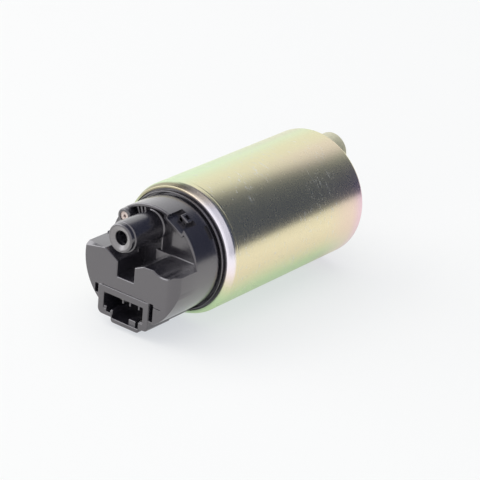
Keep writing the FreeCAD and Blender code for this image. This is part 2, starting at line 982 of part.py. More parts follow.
def commutator():
    """Face commutator: a carbon and copper disc split into segments by saw cuts."""
    made = turned("commutator", [
        Corner(size.shaft_radius, size.commutator_face),
        Corner(size.commutator_radius, size.commutator_face),
        Corner(size.commutator_radius, commutator_rear),
        Corner(size.shaft_radius, commutator_rear),
    ])
    half = size.commutator_slot / 2
    cut = made.cut_outline(
        rectangle(size.commutator_slot_inner, size.commutator_radius + OVERSHOOT, -half, half),
        size.commutator_face,
        size.commutator_face + size.commutator_slot_depth,
    )
    made.repeat_round(cut, size.armature_slots)


def armature_core():
    """Laminated stack with slots for the coils."""
    made = piece("armature_core")
    made.pad_circle(0.0, 0.0, size.armature_radius, size.armature_front, armature_rear)
    made.cut_circle(0.0, 0.0, size.shaft_radius, size.armature_front, armature_rear)
    half = size.armature_slot_width / 2
    mouth = size.armature_slot_mouth / 2
    beyond = size.armature_radius + OVERSHOOT
    cut = made.cut_outline(
        [
            Corner(size.armature_slot_inner, -half),
            Corner(size.armature_slot_outer, -half),
            Corner(size.armature_slot_outer, -mouth),
            Corner(beyond, -mouth),
            Corner(beyond, mouth),
            Corner(size.armature_slot_outer, mouth),
            Corner(size.armature_slot_outer, half),
            Corner(size.armature_slot_inner, half),
        ],
        size.armature_front,
        armature_rear,
    )
    made.repeat_round(cut, size.armature_slots)


def armature_windings():
    """Coils in the slots, joined by straight end turns from slot to slot on both sides of the stack."""
    made = piece("armature_windings")
    outer = size.armature_slot_outer
    gap = size.winding_clearance
    half = size.armature_slot_width / 2 - gap
    for front, rear in (
        (size.armature_front - size.winding_overhang, size.armature_front),
        (armature_rear, armature_rear + size.winding_overhang),
    ):
        made.pad_outline(polygon(outer, size.armature_slots), front, rear)
        made.cut_outline(polygon(size.winding_inner, size.armature_slots), front, rear)
    bar = made.pad_outline(
        rectangle(size.armature_slot_inner + gap, outer - gap, -half, half),
        size.armature_front,
        armature_rear,
    )
    made.repeat_round(bar, size.armature_slots)


def magnet(label, side):
    """Ferrite segment against the inside of the case."""
    inner = size.armature_radius + size.air_gap
    edge = cosine(size.magnet_half_angle) * side
    made = piece(label)
    made.pad_outline(
        [
            Corner(None, inner_radius * edge, arc=inner_radius, side=side),
            Corner(None, inner_radius * edge, side=-side),
            Corner(None, inner * edge, arc=inner, side=-side),
            Corner(None, inner * edge, side=side),
        ],
        size.magnet_front,
        magnet_rear,
    )


def magnet_clip(label, side):
    """Spring clip bent from sheet, which presses the two magnets apart."""
    angle = 90 - size.magnet_half_angle - size.clip_gap_angle
    outer = inner_radius
    inside = inner_radius - size.clip_sheet
    tip = inner_radius - size.clip_reach
    high = outer * sine(angle)
    tip_x = tip * cosine(angle) * side
    tip_high = tip * sine(angle)
    step_x = size.clip_sheet * sine(angle) * side
    step_high = size.clip_sheet * cosine(angle)
    bend = inside * sine(angle) - step_high
    made = piece(label)
    made.pad_outline(
        [
            Corner(None, -high, arc=outer, side=side),
            Corner(None, high, side=side),
            Corner(tip_x, tip_high),
            Corner(tip_x + step_x, tip_high - step_high),
            Corner(None, bend, arc=inside, side=side),
            Corner(None, -bend, side=side),
            Corner(tip_x + step_x, step_high - tip_high),
            Corner(tip_x, -tip_high),
        ],
        size.magnet_front + size.clip_inset,
        magnet_rear - size.clip_inset,
    )


def sleeve(label, radius, front, rear, x, z):
    """A coil spring's envelope."""
    turned(label, ring_outline(radius - size.spring_wire, radius, front, rear), x, z)


def brush(side_name, side):
    """Carbon brush and the spring that presses it on the commutator."""
    made = piece("brush_" + side_name, size.brush_centre * side, 0.0)
    half = size.brush_width / 2
    high = size.brush_height / 2
    made.pad_outline(rectangle(-half, half, -high, high), brush_front, size.commutator_face)
    sleeve(
        "brush_spring_" + side_name,
        size.brush_spring_radius,
        cavity_front,
        brush_front,
        size.brush_centre * side,
        0.0,
    )


def terminal(label, side):
    """Blade in the socket with a leg on the cap's inner wall, which carries the choke."""
    pin = size.connector_offset + size.terminal_pitch / 2 * side
    low = terminal_height - size.terminal_thickness / 2
    high = terminal_height + size.terminal_thickness / 2
    made = piece(label)
    made.pad_outline(
        rectangle(pin - size.terminal_width / 2, pin + size.terminal_width / 2, low, high),
        socket_rear - size.terminal_reach,
        terminal_leg_rear,
    )
    outer = (cavity_radius - size.terminal_leg_inset) * side
    inner = pin - size.terminal_width / 2 * side
    left, right = (outer, inner) if side < 0 else (inner, outer)
    made.pad_outline(
        rectangle(left, right, low, terminal_height + size.terminal_leg_rise),
        cavity_front,
        terminal_leg_rear,
    )


def choke(label, side):
    """Suppression choke, the envelope of a coil on its ferrite rod."""
    made = piece(label)
    made.pad_circle(
        size.brush_centre * side,
        size.choke_inset - cavity_radius,
        size.choke_radius,
        terminal_leg_rear,
        terminal_leg_rear + size.choke_length,
    )


def outlet_valve():
    """Check valve in the outlet: seat ring, poppet with guide fins, and its spring."""
    x = size.pipe_offset
    z = pipe_height
    turned(
        "check_valve_seat",
        ring_outline(size.check_seat_bore, size.check_chamber_radius, check_seat_front, cavity_front),
        x,
        z,
    )
    poppet = turned(
        "check_valve_poppet",
        [
            Corner(0.0, -size.check_stem_front),
            Corner(size.check_stem_radius, -size.check_stem_front),
            Corner(size.check_stem_radius, check_head_front),
            Corner(size.check_head_radius, check_head_front),
            Corner(size.check_head_radius, check_head_rear),
            Corner(size.check_nose_radius, check_head_rear),
            Corner(size.check_nose_radius, check_head_rear + size.check_nose_length),
            Corner(0.0, check_head_rear + size.check_nose_length),
        ],
        x,
        z,
    )
    half = size.check_fin_thickness / 2
    fin = poppet.pad_outline(
        rectangle(size.check_stem_radius, size.check_fin_reach, -half, half),
        check_head_front,
        check_head_rear,
    )
    poppet.repeat_round(fin, size.check_fin_count)
    sleeve("check_valve_spring", size.check_spring_radius, -size.check_chamber_front, check_head_front, x, z)


def relief_valve():
    """Relief valve: poppet on its seat in the cap, spring, and the plug with its hole."""
    x = relief_offset
    z = relief_height
    turned(
        "relief_valve_poppet",
        [
            Corner(0.0, relief_head_front),
            Corner(size.relief_head_radius, relief_head_front),
            Corner(size.relief_head_radius, relief_head_rear),
            Corner(size.relief_nose_radius, relief_head_rear),
            Corner(size.relief_nose_radius, relief_head_rear + size.relief_nose_length),
            Corner(0.0, relief_head_rear + size.relief_nose_length),
        ],
        x,
        z,
    )
    sleeve("relief_valve_spring", size.relief_spring_radius, relief_plug_rear, relief_head_front, x, z)
    turned(
        "relief_valve_plug",
        ring_outline(
            size.relief_plug_bore, size.relief_chamber_radius, relief_plug_front, relief_plug_rear
        ),
        x,
        z,
    )


def flow_channel(made, face):
    """Channel that the impeller's vanes run over."""
    inner = size.channel_radius - size.channel_width / 2
    outer = size.channel_radius + size.channel_width / 2
    outline = ring_outline(inner, outer, face - size.channel_depth, face + size.channel_depth)
    made.turn(outline, cuts=True, sweep=size.channel_sweep)


def pump_housing():
    """Outlet half of the pump stage, which also carries the rear bearing."""
    recess = size.impeller_radius + size.impeller_side_gap
    bearing_rear = housing_front + size.rear_bearing_length
    pass_radius = size.shaft_radius + size.shaft_pass
    made = turned("pump_housing", [
        Corner(bearing_radius, housing_front),
        Corner(size.housing_hub, housing_front),
        Corner(size.housing_hub, housing_face),
        Corner(inner_radius, housing_face),
        Corner(inner_radius, cover_front),
        Corner(recess, cover_front),
        Corner(recess, housing_floor),
        Corner(pass_radius, housing_floor),
        Corner(pass_radius, bearing_rear),
        Corner(bearing_radius, bearing_rear),
    ])
    flow_channel(made, housing_floor)
    made.cut_circle(
        -size.channel_radius, 0.0, size.discharge_port, housing_face, housing_floor
    )
    bearing("rear_bearing", housing_front, bearing_rear)


def impeller():
    """Turbine impeller with slots between its vanes and a bore with two flats."""
    made = piece("impeller")
    front = housing_floor + size.impeller_clearance
    rear = front + size.impeller_thickness
    made.pad_circle(0.0, 0.0, size.impeller_radius, front, rear)
    bore = size.shaft_radius
    flat = bore - size.shaft_flat
    made.cut_outline(
        [
            Corner(None, flat, arc=bore, side=-1),
            Corner(None, -flat, side=-1),
            Corner(None, -flat, arc=bore),
            Corner(None, flat),
        ],
        front,
        rear,
    )
    outer = size.impeller_radius - size.impeller_rim
    half = size.vane_gap / 2
    gap = made.cut_outline(rectangle(outer - size.vane_depth, outer, -half, half), front, rear)
    made.repeat_round(gap, size.vane_count)


def inlet_cover():
    """Inlet half of the pump stage, with the nozzle that the strainer is pushed on."""
    rear_face = size.barrel_length + size.cover_proud
    nozzle_height = rear_lip_bore - size.nozzle_inset
    nozzle_rear = size.barrel_length + size.nozzle_length
    proud = rear_lip_bore - size.cover_gap
    pocket_rear = thrust_face + size.thrust_thickness
    made = turned("inlet_cover", [
        Corner(0.0, pocket_rear),
        Corner(size.thrust_radius, pocket_rear),
        Corner(size.thrust_radius, cover_front),
        Corner(inner_radius, cover_front),
        Corner(inner_radius, rear_lip_front),
        Corner(proud, rear_lip_front),
        Corner(proud, rear_face),
        Corner(0.0, rear_face),
    ])
    flow_channel(made, cover_front)
    made.pad_circle(0.0, nozzle_height, size.nozzle_radius, rear_lip_front, nozzle_rear)
    made.cut_circle(
        0.0, nozzle_height, size.nozzle_bore, cover_front + size.port_depth, nozzle_rear
    )
    made.cut_circle(
        0.0, size.channel_radius, size.discharge_port, cover_front, cover_front + size.port_depth
    )

    def is_nozzle_mouth(edge):
        at_rear = abs(edge.CenterOfMass.y - nozzle_rear.value) < NEAR
        return at_rear and abs(edge.Length - 2 * math.pi * size.nozzle_radius.value) < NEAR

    made.dress("Chamfer", size.nozzle_chamfer, is_nozzle_mouth)
    turned("thrust_plate", [
        Corner(0.0, thrust_face),
        Corner(size.thrust_radius, thrust_face),
        Corner(size.thrust_radius, pocket_rear),
        Corner(0.0, pocket_rear),
    ])


def check_and_write():
    """Stops on any failed object, then writes each piece to its own file."""
    doc.recompute()
    for item in doc.Objects:
        if "Invalid" in item.State or "Error" in item.State:
            raise RuntimeError("%s failed: %s" % (item.Name, item.State))
    for item in pieces:
        shape = item.Shape
        if shape.isNull() or not shape.isValid() or not shape.Solids:
            raise RuntimeError("%s has no valid solid" % item.Label)
        shape.exportStep("parts/%s.step" % item.Label)
        print(item.Label, "solids", len(shape.Solids), "volume %.1f" % shape.Volume)


case_tube()
end_cap()
bearing("front_bearing", bearing_front, size.holder_rear)
shaft()
commutator()
armature_core()
armature_windings()
magnet("magnet_upper", 1)
magnet("magnet_lower", -1)
magnet_clip("magnet_clip_left", -1)
magnet_clip("magnet_clip_right", 1)
for side_name, side in (("left", -1), ("right", 1)):
    brush(side_name, side)
    terminal("terminal_" + side_name, side)
    choke("choke_" + side_name, side)
outlet_valve()
relief_valve()
pump_housing()
impeller()
inlet_cover()
check_and_write()
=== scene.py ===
import math

import bmesh
import bpy
from mathutils import Matrix, Vector


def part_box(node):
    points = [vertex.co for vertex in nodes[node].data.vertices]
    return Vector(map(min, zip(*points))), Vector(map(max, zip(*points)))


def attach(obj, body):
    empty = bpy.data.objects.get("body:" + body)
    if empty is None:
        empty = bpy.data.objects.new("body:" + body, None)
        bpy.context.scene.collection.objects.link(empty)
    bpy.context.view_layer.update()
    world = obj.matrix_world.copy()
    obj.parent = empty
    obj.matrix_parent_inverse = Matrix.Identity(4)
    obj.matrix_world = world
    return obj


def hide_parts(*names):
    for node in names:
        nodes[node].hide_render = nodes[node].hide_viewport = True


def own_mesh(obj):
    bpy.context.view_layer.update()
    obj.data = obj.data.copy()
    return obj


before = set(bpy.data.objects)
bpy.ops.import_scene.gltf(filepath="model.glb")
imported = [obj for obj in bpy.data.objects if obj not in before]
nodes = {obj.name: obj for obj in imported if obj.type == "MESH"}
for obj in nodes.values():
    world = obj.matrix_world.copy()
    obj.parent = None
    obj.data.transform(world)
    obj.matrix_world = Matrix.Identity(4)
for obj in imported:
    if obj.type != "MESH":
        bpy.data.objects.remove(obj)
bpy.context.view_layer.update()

# Looks of an in-tank fuel pump: a chromated steel barrel with a moulded black end cap.
# The pump axis is Y, the outlet faces -Y, the connector is at the bottom.
# Shapes are drawn in millimetres and scaled to metres when a piece is finished.

MM = 0.001

# Edges in a full turn, from the case to the choke's rod, and in one rounded corner
CASE_STEPS = 256
ROUND_STEPS = 192
PIPE_STEPS = 96
SMALL_STEPS = 64
ROD_STEPS = 40
ARC_STEPS = 4

# A point this near to the axis lies on it
ON_AXIS = 1e-6
# Points this near to each other are merged, in a solid and in a finished piece
SAME_PLACE = 1e-5
MERGE_DISTANCE = 1e-4
# A cutter that opens out starts this far in front of the face that it cuts
OVERSHOOT = 1.0
# Faces that meet at a larger angle keep a sharp edge
SMOOTH_ANGLE = math.radians(38)

# The side that the camera sees best, as an angle about the axis from +X towards +Z
SEEN_SIDE = math.radians(36)

# The case: radii, straight length, reach of the rolled front edge and the hole in it
CASE_RADIUS = 19.0
CASE_INSIDE = 17.8
BARREL = 59.8
CURL = 2.4
LIP_BORE = 17.45

# The cap's drum, the recess in its face and the cavity behind it
DRUM_RADIUS = 16.2
DRUM_FRONT = -13.2
RECESS_RADIUS = 15.2
RECESS_FLOOR = -10.5
CAVITY_FRONT = -7.1

# Degrees from +X towards +Z at which the drum's pocket, window and lower rim lie
POCKET_TURN = 61.0
WINDOW_TURN = 39.0
LOW_RIM_TURN = 151.0

# The tower: front, flat underside, height of each shoulder at the drum's outline, and its trough
TOWER_FRONT = -21.6
TOWER_LOW = -13.4
LEFT_SHOULDER = 2.95
RIGHT_SHOULDER = 2.4
TROUGH_LEFT = -4.55
TROUGH_RIGHT = 1.35
TROUGH_FLOOR = -3.6

# The connector: middle, front of its frame and bottom of its socket
CONNECTOR_X = -1.6
FRAME_FRONT = -21.8
SOCKET_BOTTOM = -11.8

# Centre lines of the outlet pipe, the relief valve, the brushes and the inlet nozzle
PIPE_X = -1.6
PIPE_Z = 9.6
RELIEF_X = -8.77
RELIEF_Z = 10.72
BRUSH_X = 6.6
NOZZLE_Z = 10.6


# Outlines

def softened(corners):
    """Turns each corner that names a rounding into an arc of short edges."""
    points = []
    count = len(corners)
    for i, corner in enumerate(corners):
        here = Vector(corner[:2])
        if len(corner) < 3:
            points.append(here)
            continue
        rounding = corner[2]
        before = (Vector(corners[i - 1][:2]) - here).normalized()
        after = (Vector(corners[(i + 1) % count][:2]) - here).normalized()
        half = before.angle(after) / 2
        centre = here + (before + after).normalized() * (rounding / math.sin(half))
        start = here + before * (rounding / math.tan(half)) - centre
        stop = here + after * (rounding / math.tan(half)) - centre
        first = math.atan2(start.y, start.x)
        turn = math.atan2(stop.y, stop.x) - first
        turn = (turn + math.pi) % (2 * math.pi) - math.pi
        for k in range(ARC_STEPS + 1):
            angle = first + turn * k / ARC_STEPS
            points.append(centre + Vector((math.cos(angle), math.sin(angle))) * rounding)
    return points


def arc(radius, first, last, steps, x=0.0, y=0.0):
    """Points on an arc, with its angles in degrees."""
    points = []
    for k in range(steps + 1):
        angle = math.radians(first + (last - first) * k / steps)
        points.append((x + radius * math.cos(angle), y + radius * math.sin(angle)))
    return points


def inset(points, distance):
    """Moves every edge of an anticlockwise outline inwards."""
    count = len(points)
    moved = []
    for i, here in enumerate(points):
        before = (here - points[i - 1]).normalized()
        after = (points[(i + 1) % count] - here).normalized()
        normal_before = Vector((-before.y, before.x))
        normal_after = Vector((-after.y, after.x))
        lean = 1 + normal_before.dot(normal_after)
        moved.append(here + (normal_before + normal_after) * (distance / lean))
    return moved


def box(left, right, low, high, rounding=None):
    """A rectangle's corners, anticlockwise."""
    corners = [(left, low), (right, low), (right, high), (left, high)]
    if rounding:
        corners = [(u, v, rounding) for u, v in corners]
    return corners


# Solids, in millimetres

def solid(vertices, faces):
    """A closed mesh with its doubles merged and its faces turned outwards."""
    mesh = bpy.data.meshes.new("shape")
    mesh.from_pydata(vertices, [], faces)
    tidy = bmesh.new()
    tidy.from_mesh(mesh)
    bmesh.ops.remove_doubles(tidy, verts=tidy.verts, dist=SAME_PLACE)
    bmesh.ops.recalc_face_normals(tidy, faces=tidy.faces)
    tidy.to_mesh(mesh)
    tidy.free()
    return mesh


def lathe(corners, x=0.0, z=0.0, steps=ROUND_STEPS):
    """Turns a closed outline of (radius, y) corners about an axis along Y."""
    profile = softened(corners)
    count = len(profile)
    vertices = []
    for k in range(steps):
        angle = 2 * math.pi * k / steps
        for point in profile:
            vertices.append((
                x + point.x * math.cos(angle),
                point.y,
                z + point.x * math.sin(angle),
            ))
    faces = []
    for k in range(steps):
        ring = k * count
        following = (k + 1) % steps * count
        for i in range(count):
            j = (i + 1) % count
            first_on_axis = profile[i].x < ON_AXIS
            second_on_axis = profile[j].x < ON_AXIS
            if first_on_axis and second_on_axis:
                continue
            face = [ring + i, ring + j, following + j, following + i]
            if first_on_axis:
                face = [ring + i, ring + j, following + j]
            elif second_on_axis:
                face = [ring + i, ring + j, following + i]
            faces.append(face)
    return solid(vertices, faces)


def prism(corners, start, end, along="Y", bevel=0.0, flare=0.0):
    """Extrudes an outline along an axis.

    The start edge is rounded off by bevel, or opens out by flare where the solid is a cutter.
    """
    points = softened(corners)
    area = sum(p.x * q.y - q.x * p.y for p, q in zip(points, points[1:] + points[:1]))
    if area < 0:
        points.reverse()
    rings = []
    if flare:
        rings.append((inset(points, -flare), start - OVERSHOOT))
    edge = bevel or flare
    if edge:
        for k in range(ARC_STEPS + 1):
            angle = math.pi / 2 * k / ARC_STEPS
            step_in = edge * (1 - math.sin(angle))
            moved = inset(points, step_in if bevel else -step_in)
            rings.append((moved, start + edge * (1 - math.cos(angle))))
    else:
        rings.append((points, start))
    rings.append((points, end))
    places = {
        "X": lambda u, v, t: (t, u, v),
        "Y": lambda u, v, t: (u, t, v),
        "Z": lambda u, v, t: (u, v, t),
    }
    vertices = [places[along](p.x, p.y, t) for ring, t in rings for p in ring]
    count = len(points)
    faces = [list(range(count)), list(range(len(vertices) - count, len(vertices)))]
    for level in range(len(rings) - 1):
        for i in range(count):
            j = (i + 1) % count
            low = level * count
            faces.append([low + i, low + j, low + count + j, low + count + i])
    return solid(vertices, faces)


def turned_about_axis(mesh, degrees):
    """Turns a solid about the pump axis, from +X towards +Z."""
    mesh.transform(Matrix.Rotation(-math.radians(degrees), 4, "Y"))
    return mesh


def combined(base, others, operation):
    """Unites, cuts or intersects solids exactly and returns one plain mesh."""
    bench = bpy.data.collections.new("bench")
    bpy.context.scene.collection.children.link(bench)
    work = bpy.data.objects.new("work", base)
    bpy.context.scene.collection.objects.link(work)
    tools = []
    for mesh in others:
        tool = bpy.data.objects.new("tool", mesh)
        bench.objects.link(tool)
        tools.append(tool)
    step = work.modifiers.new("cut", "BOOLEAN")
    step.operation = operation
    step.solver = "EXACT"
    step.operand_type = "COLLECTION"
    step.collection = bench
    graph = bpy.context.evaluated_depsgraph_get()
    made = bpy.data.meshes.new_from_object(work.evaluated_get(graph))
    for item in [work] + tools:
        bpy.data.objects.remove(item)
    bpy.data.collections.remove(bench)
    return made


def finished(name, mesh, body, material, replaces=()):
    """Scales a solid to metres, shades it and hangs it on its body."""
    tidy = bmesh.new()
    tidy.from_mesh(mesh)
    bmesh.ops.remove_doubles(tidy, verts=tidy.verts, dist=MERGE_DISTANCE)
    bmesh.ops.dissolve_degenerate(tidy, edges=tidy.edges, dist=MERGE_DISTANCE)
    bmesh.ops.recalc_face_normals(tidy, faces=tidy.faces)
    tidy.to_mesh(mesh)
    tidy.free()
    mesh.transform(Matrix.Scale(MM, 4))
    mesh.name = name
    mesh.materials.clear()
    mesh.materials.append(material)
    mesh.shade_smooth()
    mesh.set_sharp_from_angle(angle=SMOOTH_ANGLE)
    piece = bpy.data.objects.new(name, mesh)
    bpy.context.scene.collection.objects.link(piece)
    weighted = piece.modifiers.new("flat faces stay flat", "WEIGHTED_NORMAL")
    weighted.keep_sharp = True
    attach(piece, body)
    if replaces:
        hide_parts(*replaces)
    return piece


# Shader maths

class Socket:
    """A shader output that can be used in plain expressions."""

    def __init__(self, tree, output):
        self.tree = tree
        self.output = output

    def maths(self, operation, first, second):
        """Adds one Math node."""
        made = self.tree.nodes.new("ShaderNodeMath")
        made.operation = operation
        for place, item in enumerate((first, second)):
            if isinstance(item, Socket):
                self.tree.links.new(item.output, made.inputs[place])
            else:
                made.inputs[place].default_value = item
        return Socket(self.tree, made.outputs[0])

    def __add__(self, other):
        return self.maths("ADD", self, other)

    def __radd__(self, other):
        return self.maths("ADD", other, self)

    def __sub__(self, other):
        return self.maths("SUBTRACT", self, other)

    def __rsub__(self, other):
        return self.maths("SUBTRACT", other, self)

    def __mul__(self, other):
        return self.maths("MULTIPLY", self, other)

    def __rmul__(self, other):
        return self.maths("MULTIPLY", other, self)

    def __truediv__(self, other):
        return self.maths("DIVIDE", self, other)

    def __rtruediv__(self, other):
        return self.maths("DIVIDE", other, self)


SOCKETS = {
    "base_color": "Base Color",
    "metallic": "Metallic",
    "roughness": "Roughness",
    "ior": "IOR",
    "specular": "Specular IOR Level",
    "edge_tint": "Specular Tint",
    "coat_weight": "Coat Weight",
    "coat_roughness": "Coat Roughness",
    "coat_ior": "Coat IOR",
}

# How a grain is stretched: not at all, along the pump's axis, or round it
EVEN = (1.0, 1.0, 1.0)
ALONG = (1.0, 0.05, 1.0)
AROUND = (1.0, 12.0, 1.0)


class Tree:
    """A shader's nodes."""

    def __init__(self, tree):
        self.tree = tree
        self.tree.nodes.clear()

    def node(self, kind, settings=None, sockets=None, output=0):
        """Adds one node: its settings first, then the values or links of its sockets.

        Returns its output as a Socket, or the node itself where it has no output.
        """
        made = self.tree.nodes.new(kind)
        for key, value in (settings or {}).items():
            setattr(made, key, value)
        for key, value in (sockets or {}).items():
            if isinstance(value, Socket):
                self.tree.links.new(value.output, made.inputs[key])
            else:
                made.inputs[key].default_value = value
        return Socket(self.tree, made.outputs[output]) if made.outputs else made

    def seen(self, direct=1.0, mirrored=1.0):
        """One value for what the camera sees itself, one for reflections, otherwise 0."""
        path = self.node("ShaderNodeLightPath").output.node.outputs
        camera = Socket(self.tree, path["Is Camera Ray"])
        glossy = Socket(self.tree, path["Is Glossy Ray"])
        through = Socket(self.tree, path["Is Transmission Ray"])
        return camera * direct + (glossy + through) * mirrored


class Finish(Tree):
    """A procedural material built from nodes."""

    def __init__(self, name, **constants):
        self.material = bpy.data.materials.new(name)
        self.material.use_nodes = True
        super().__init__(self.material.node_tree)
        values = {SOCKETS[key]: value for key, value in constants.items()}
        self.shader = self.node("ShaderNodeBsdfPrincipled", None, values)
        self.result = self.node("ShaderNodeOutputMaterial", None, {"Surface": self.shader})
        self.place = self.node("ShaderNodeTexCoord", None, None, "Object")

    def noise(self, scale, detail=2.0, stretch=EVEN, roughness=0.5):
        """Noise from 0 to 1 with the given number of waves in a metre."""
        where = self.node("ShaderNodeMapping", None, {"Vector": self.place, "Scale": stretch})
        return self.node(
            "ShaderNodeTexNoise",
            None,
            {"Vector": where, "Scale": scale, "Detail": detail, "Roughness": roughness},
        )

    def rings(self, pitch, waviness=0.0):
        """Bands from 0 to 1 that repeat along the pump's axis every so many metres."""
        # Bands of scale 1 repeat every pi / 10
        return self.node(
            "ShaderNodeTexWave",
            {"wave_type": "BANDS", "bands_direction": "Y"},
            {"Vector": self.place, "Scale": math.pi / 10 / pitch, "Distortion": waviness},
            1,
        )

    def between(self, value, low, high, new_low=0.0, new_high=1.0):
        """Maps a range smoothly on another one."""
        return self.node(
            "ShaderNodeMapRange",
            {"interpolation_type": "SMOOTHSTEP"},
            {
                "Value": value,
                "From Min": low,
                "From Max": high,
                "To Min": new_low,
                "To Max": new_high,
            },
        )

    def mixed(self, factor, first, second):
        """Mixes two colours, of which either may be a socket."""
        sockets = {0: factor}
        for place, colour in ((6, first), (7, second)):
            sockets[place] = colour if isinstance(colour, Socket) else (*colour, 1.0)
        return self.node("ShaderNodeMix", {"data_type": "RGBA"}, sockets, 2)

    def link(self, socket, value):
        """Feeds one of the shader's own sockets."""
        self.tree.links.new(value.output, self.shader.output.node.inputs[socket])

    def bump(self, height, distance, strength):
        """Raises the surface by a height from 0 to 1, of which 1 stands for the distance."""
        bumped = self.node(
            "ShaderNodeBump", None, {"Strength": strength, "Distance": distance, "Height": height}
        )
        self.link("Normal", bumped)

    def show(self, surface):
        """Shows another shader instead of the plain one."""
        self.tree.links.new(surface.output, self.result.inputs["Surface"])


def parts_of(finish):
    """The x, y and z of the place on the piece."""
    return [
        finish.node("ShaderNodeSeparateXYZ", None, {"Vector": finish.place}, place)
        for place in range(3)
    ]


def chromate():
    """Satin zinc under a cream and pale green passivation that turns pink and lilac at the rear,
    with painted sheen that follows the side the camera sees, and a painted highlight and painted
    shade on the rolled front edge.
    """
    finish = Finish("chromated_steel", edge_tint=(0.94, 0.95, 0.87, 1.0))
    x, y, z = parts_of(finish)
    radius = CASE_RADIUS * MM
    along = y / (BARREL * MM)
    height = z / radius
    facing = x * (math.cos(SEEN_SIDE) / radius) + z * (math.sin(SEEN_SIDE) / radius)
    drift = finish.noise(16.0, 2.0) - 0.5
    clouds = finish.noise(60.0, 3.0, (1.0, 0.35, 1.0))
    grain = finish.noise(2600.0, 2.0, (1.0, 0.25, 1.0))

    # Handling marks, which stay off the rolled front edge
    specks = finish.between(finish.noise(1300.0, 3.0, (0.45, 1.0, 0.45), 0.6), 0.54, 0.74)
    scratches = finish.between(finish.noise(800.0, 2.0, (0.14, 1.4, 0.14), 0.4), 0.66, 0.72)
    wear = finish.between(finish.noise(90.0, 3.0) + along * -0.12, 0.36, 0.56)
    wear = wear * finish.between(along, 0.005, 0.03)

    # Cream on the seen side and partly on the far one, pale green between them: the passivation's
    # own tints, laid out as painted sheen that follows the angle to the camera
    warm = finish.mixed(finish.between(height, -0.3, 0.85), (0.88, 0.77, 0.51), (0.79, 0.74, 0.48))
    cool = finish.mixed(finish.between(height, -0.6, 0.9), (0.62, 0.84, 0.50), (0.70, 0.88, 0.60))
    cream = finish.between(facing + drift * 0.30, 0.30, 0.74)
    far_side = finish.between(facing + drift * 0.5, -0.35, -0.85, 0.0, 0.7)
    body = finish.mixed(cream + far_side, cool, warm)
    body = finish.mixed(clouds * 0.22, body, (0.90, 0.86, 0.70))
    # A rosy stripe beside the top, stronger towards the rear
    upper = finish.between(height + drift * 0.25, 0.78, 0.92) * finish.between(height, 1.0, 0.94)
    body = finish.mixed(upper * finish.between(along, 0.15, 0.9) * 0.45, body, (0.84, 0.66, 0.56))

    # Below the top, pink and then lilac towards the rear
    low_side = finish.between(height + drift * 0.4, 0.85, 0.25)
    rear = finish.between(along + drift * 0.16, 0.66, 1.0)
    blush = finish.mixed(finish.between(along, 0.9, 1.0), (0.87, 0.67, 0.62), (0.86, 0.60, 0.76))
    body = finish.mixed(rear * low_side * 0.82, body, blush)

    # The rolled front edge: a painted highlight in bright lilac, cream or pink on the seen side,
    # elsewhere painted shade in brown on top
    front = finish.between(along, 0.012, -0.010)
    seen = finish.between(facing, 0.52, 0.80)
    upper_curl = finish.between(height, 0.78, 0.94)
    lilac = finish.mixed(upper_curl, (0.95, 0.91, 1.0), (0.95, 0.82, 0.68))
    painted_curl_highlight = finish.mixed(finish.between(height, 0.20, -0.25), lilac, (0.97, 0.84, 0.86))
    # Painted shade: dark brown on the top of the rolled edge
    edge = finish.between(along, -0.004, -0.022) * finish.between(height, 0.3, 0.7)
    curl_with_painted_shade = finish.mixed(edge * 0.85, body, (0.30, 0.24, 0.17))
    body = finish.mixed(front * seen, curl_with_painted_shade, painted_curl_highlight)

    dusty = finish.mixed((specks + scratches * 0.6) * wear * 0.7, body, (0.79, 0.81, 0.77))
    finish.link("Base Color", dusty)
    finish.link("Metallic", 1.0 - (specks * 0.18 + scratches * 0.10) * wear)
    finish.link("Roughness", 0.225 + clouds * 0.04 + grain * 0.03 + specks * 0.02)
    finish.bump(grain, 0.000003, 0.35)
    return finish.material


def moulded_plastic():
    """Black glass-filled plastic, polished by its mould, under a faint moulding skin."""
    finish = Finish(
        "black_moulding",
        ior=1.9,
        coat_weight=1.0,
        coat_roughness=0.18,
        coat_ior=1.5,
        edge_tint=(0.97, 0.93, 1.0, 1.0),
    )
    skin = finish.noise(1500.0, 3.0)
    cloud = finish.noise(160.0, 2.0)
    colour = finish.mixed(cloud, (0.012, 0.0115, 0.016), (0.018, 0.017, 0.022))
    # A paler colour on the countersunk mouth of the outlet pipe is a painted highlight
    x, y, z = parts_of(finish)
    across = finish.node(
        "ShaderNodeCombineXYZ", None, {"X": x - PIPE_X * MM, "Y": 0.0, "Z": z - PIPE_Z * MM}
    )
    away = finish.node("ShaderNodeVectorMath", {"operation": "LENGTH"}, {0: across}, 1)
    painted_mouth_highlight = finish.between(away, 3.7 * MM, 3.2 * MM) * finish.between(y, -24.0 * MM, -24.3 * MM)
    finish.link("Base Color", finish.mixed(painted_mouth_highlight, colour, (0.13, 0.125, 0.13)))
    finish.link("Roughness", 0.20 + cloud * 0.06 + skin * 0.04)
    finish.bump(skin, 0.000005, 0.3)
    return finish.material


def banded_finish(name, dark, light, rough, pitch, metallic, height, waviness=0.0):
    """A finish with bands round the pump's axis, for stacked sheets and wound wire."""
    finish = Finish(name, metallic=metallic)
    band = finish.rings(pitch, waviness)
    cloud = finish.noise(300.0, 2.0)
    share = finish.between(band * 0.75 + cloud * 0.25, 0.15, 0.85)
    finish.link("Base Color", finish.mixed(share, dark, light))
    finish.link("Roughness", rough[0] + share * (rough[1] - rough[0]))
    finish.bump(band, height, 0.8)
    return finish.material


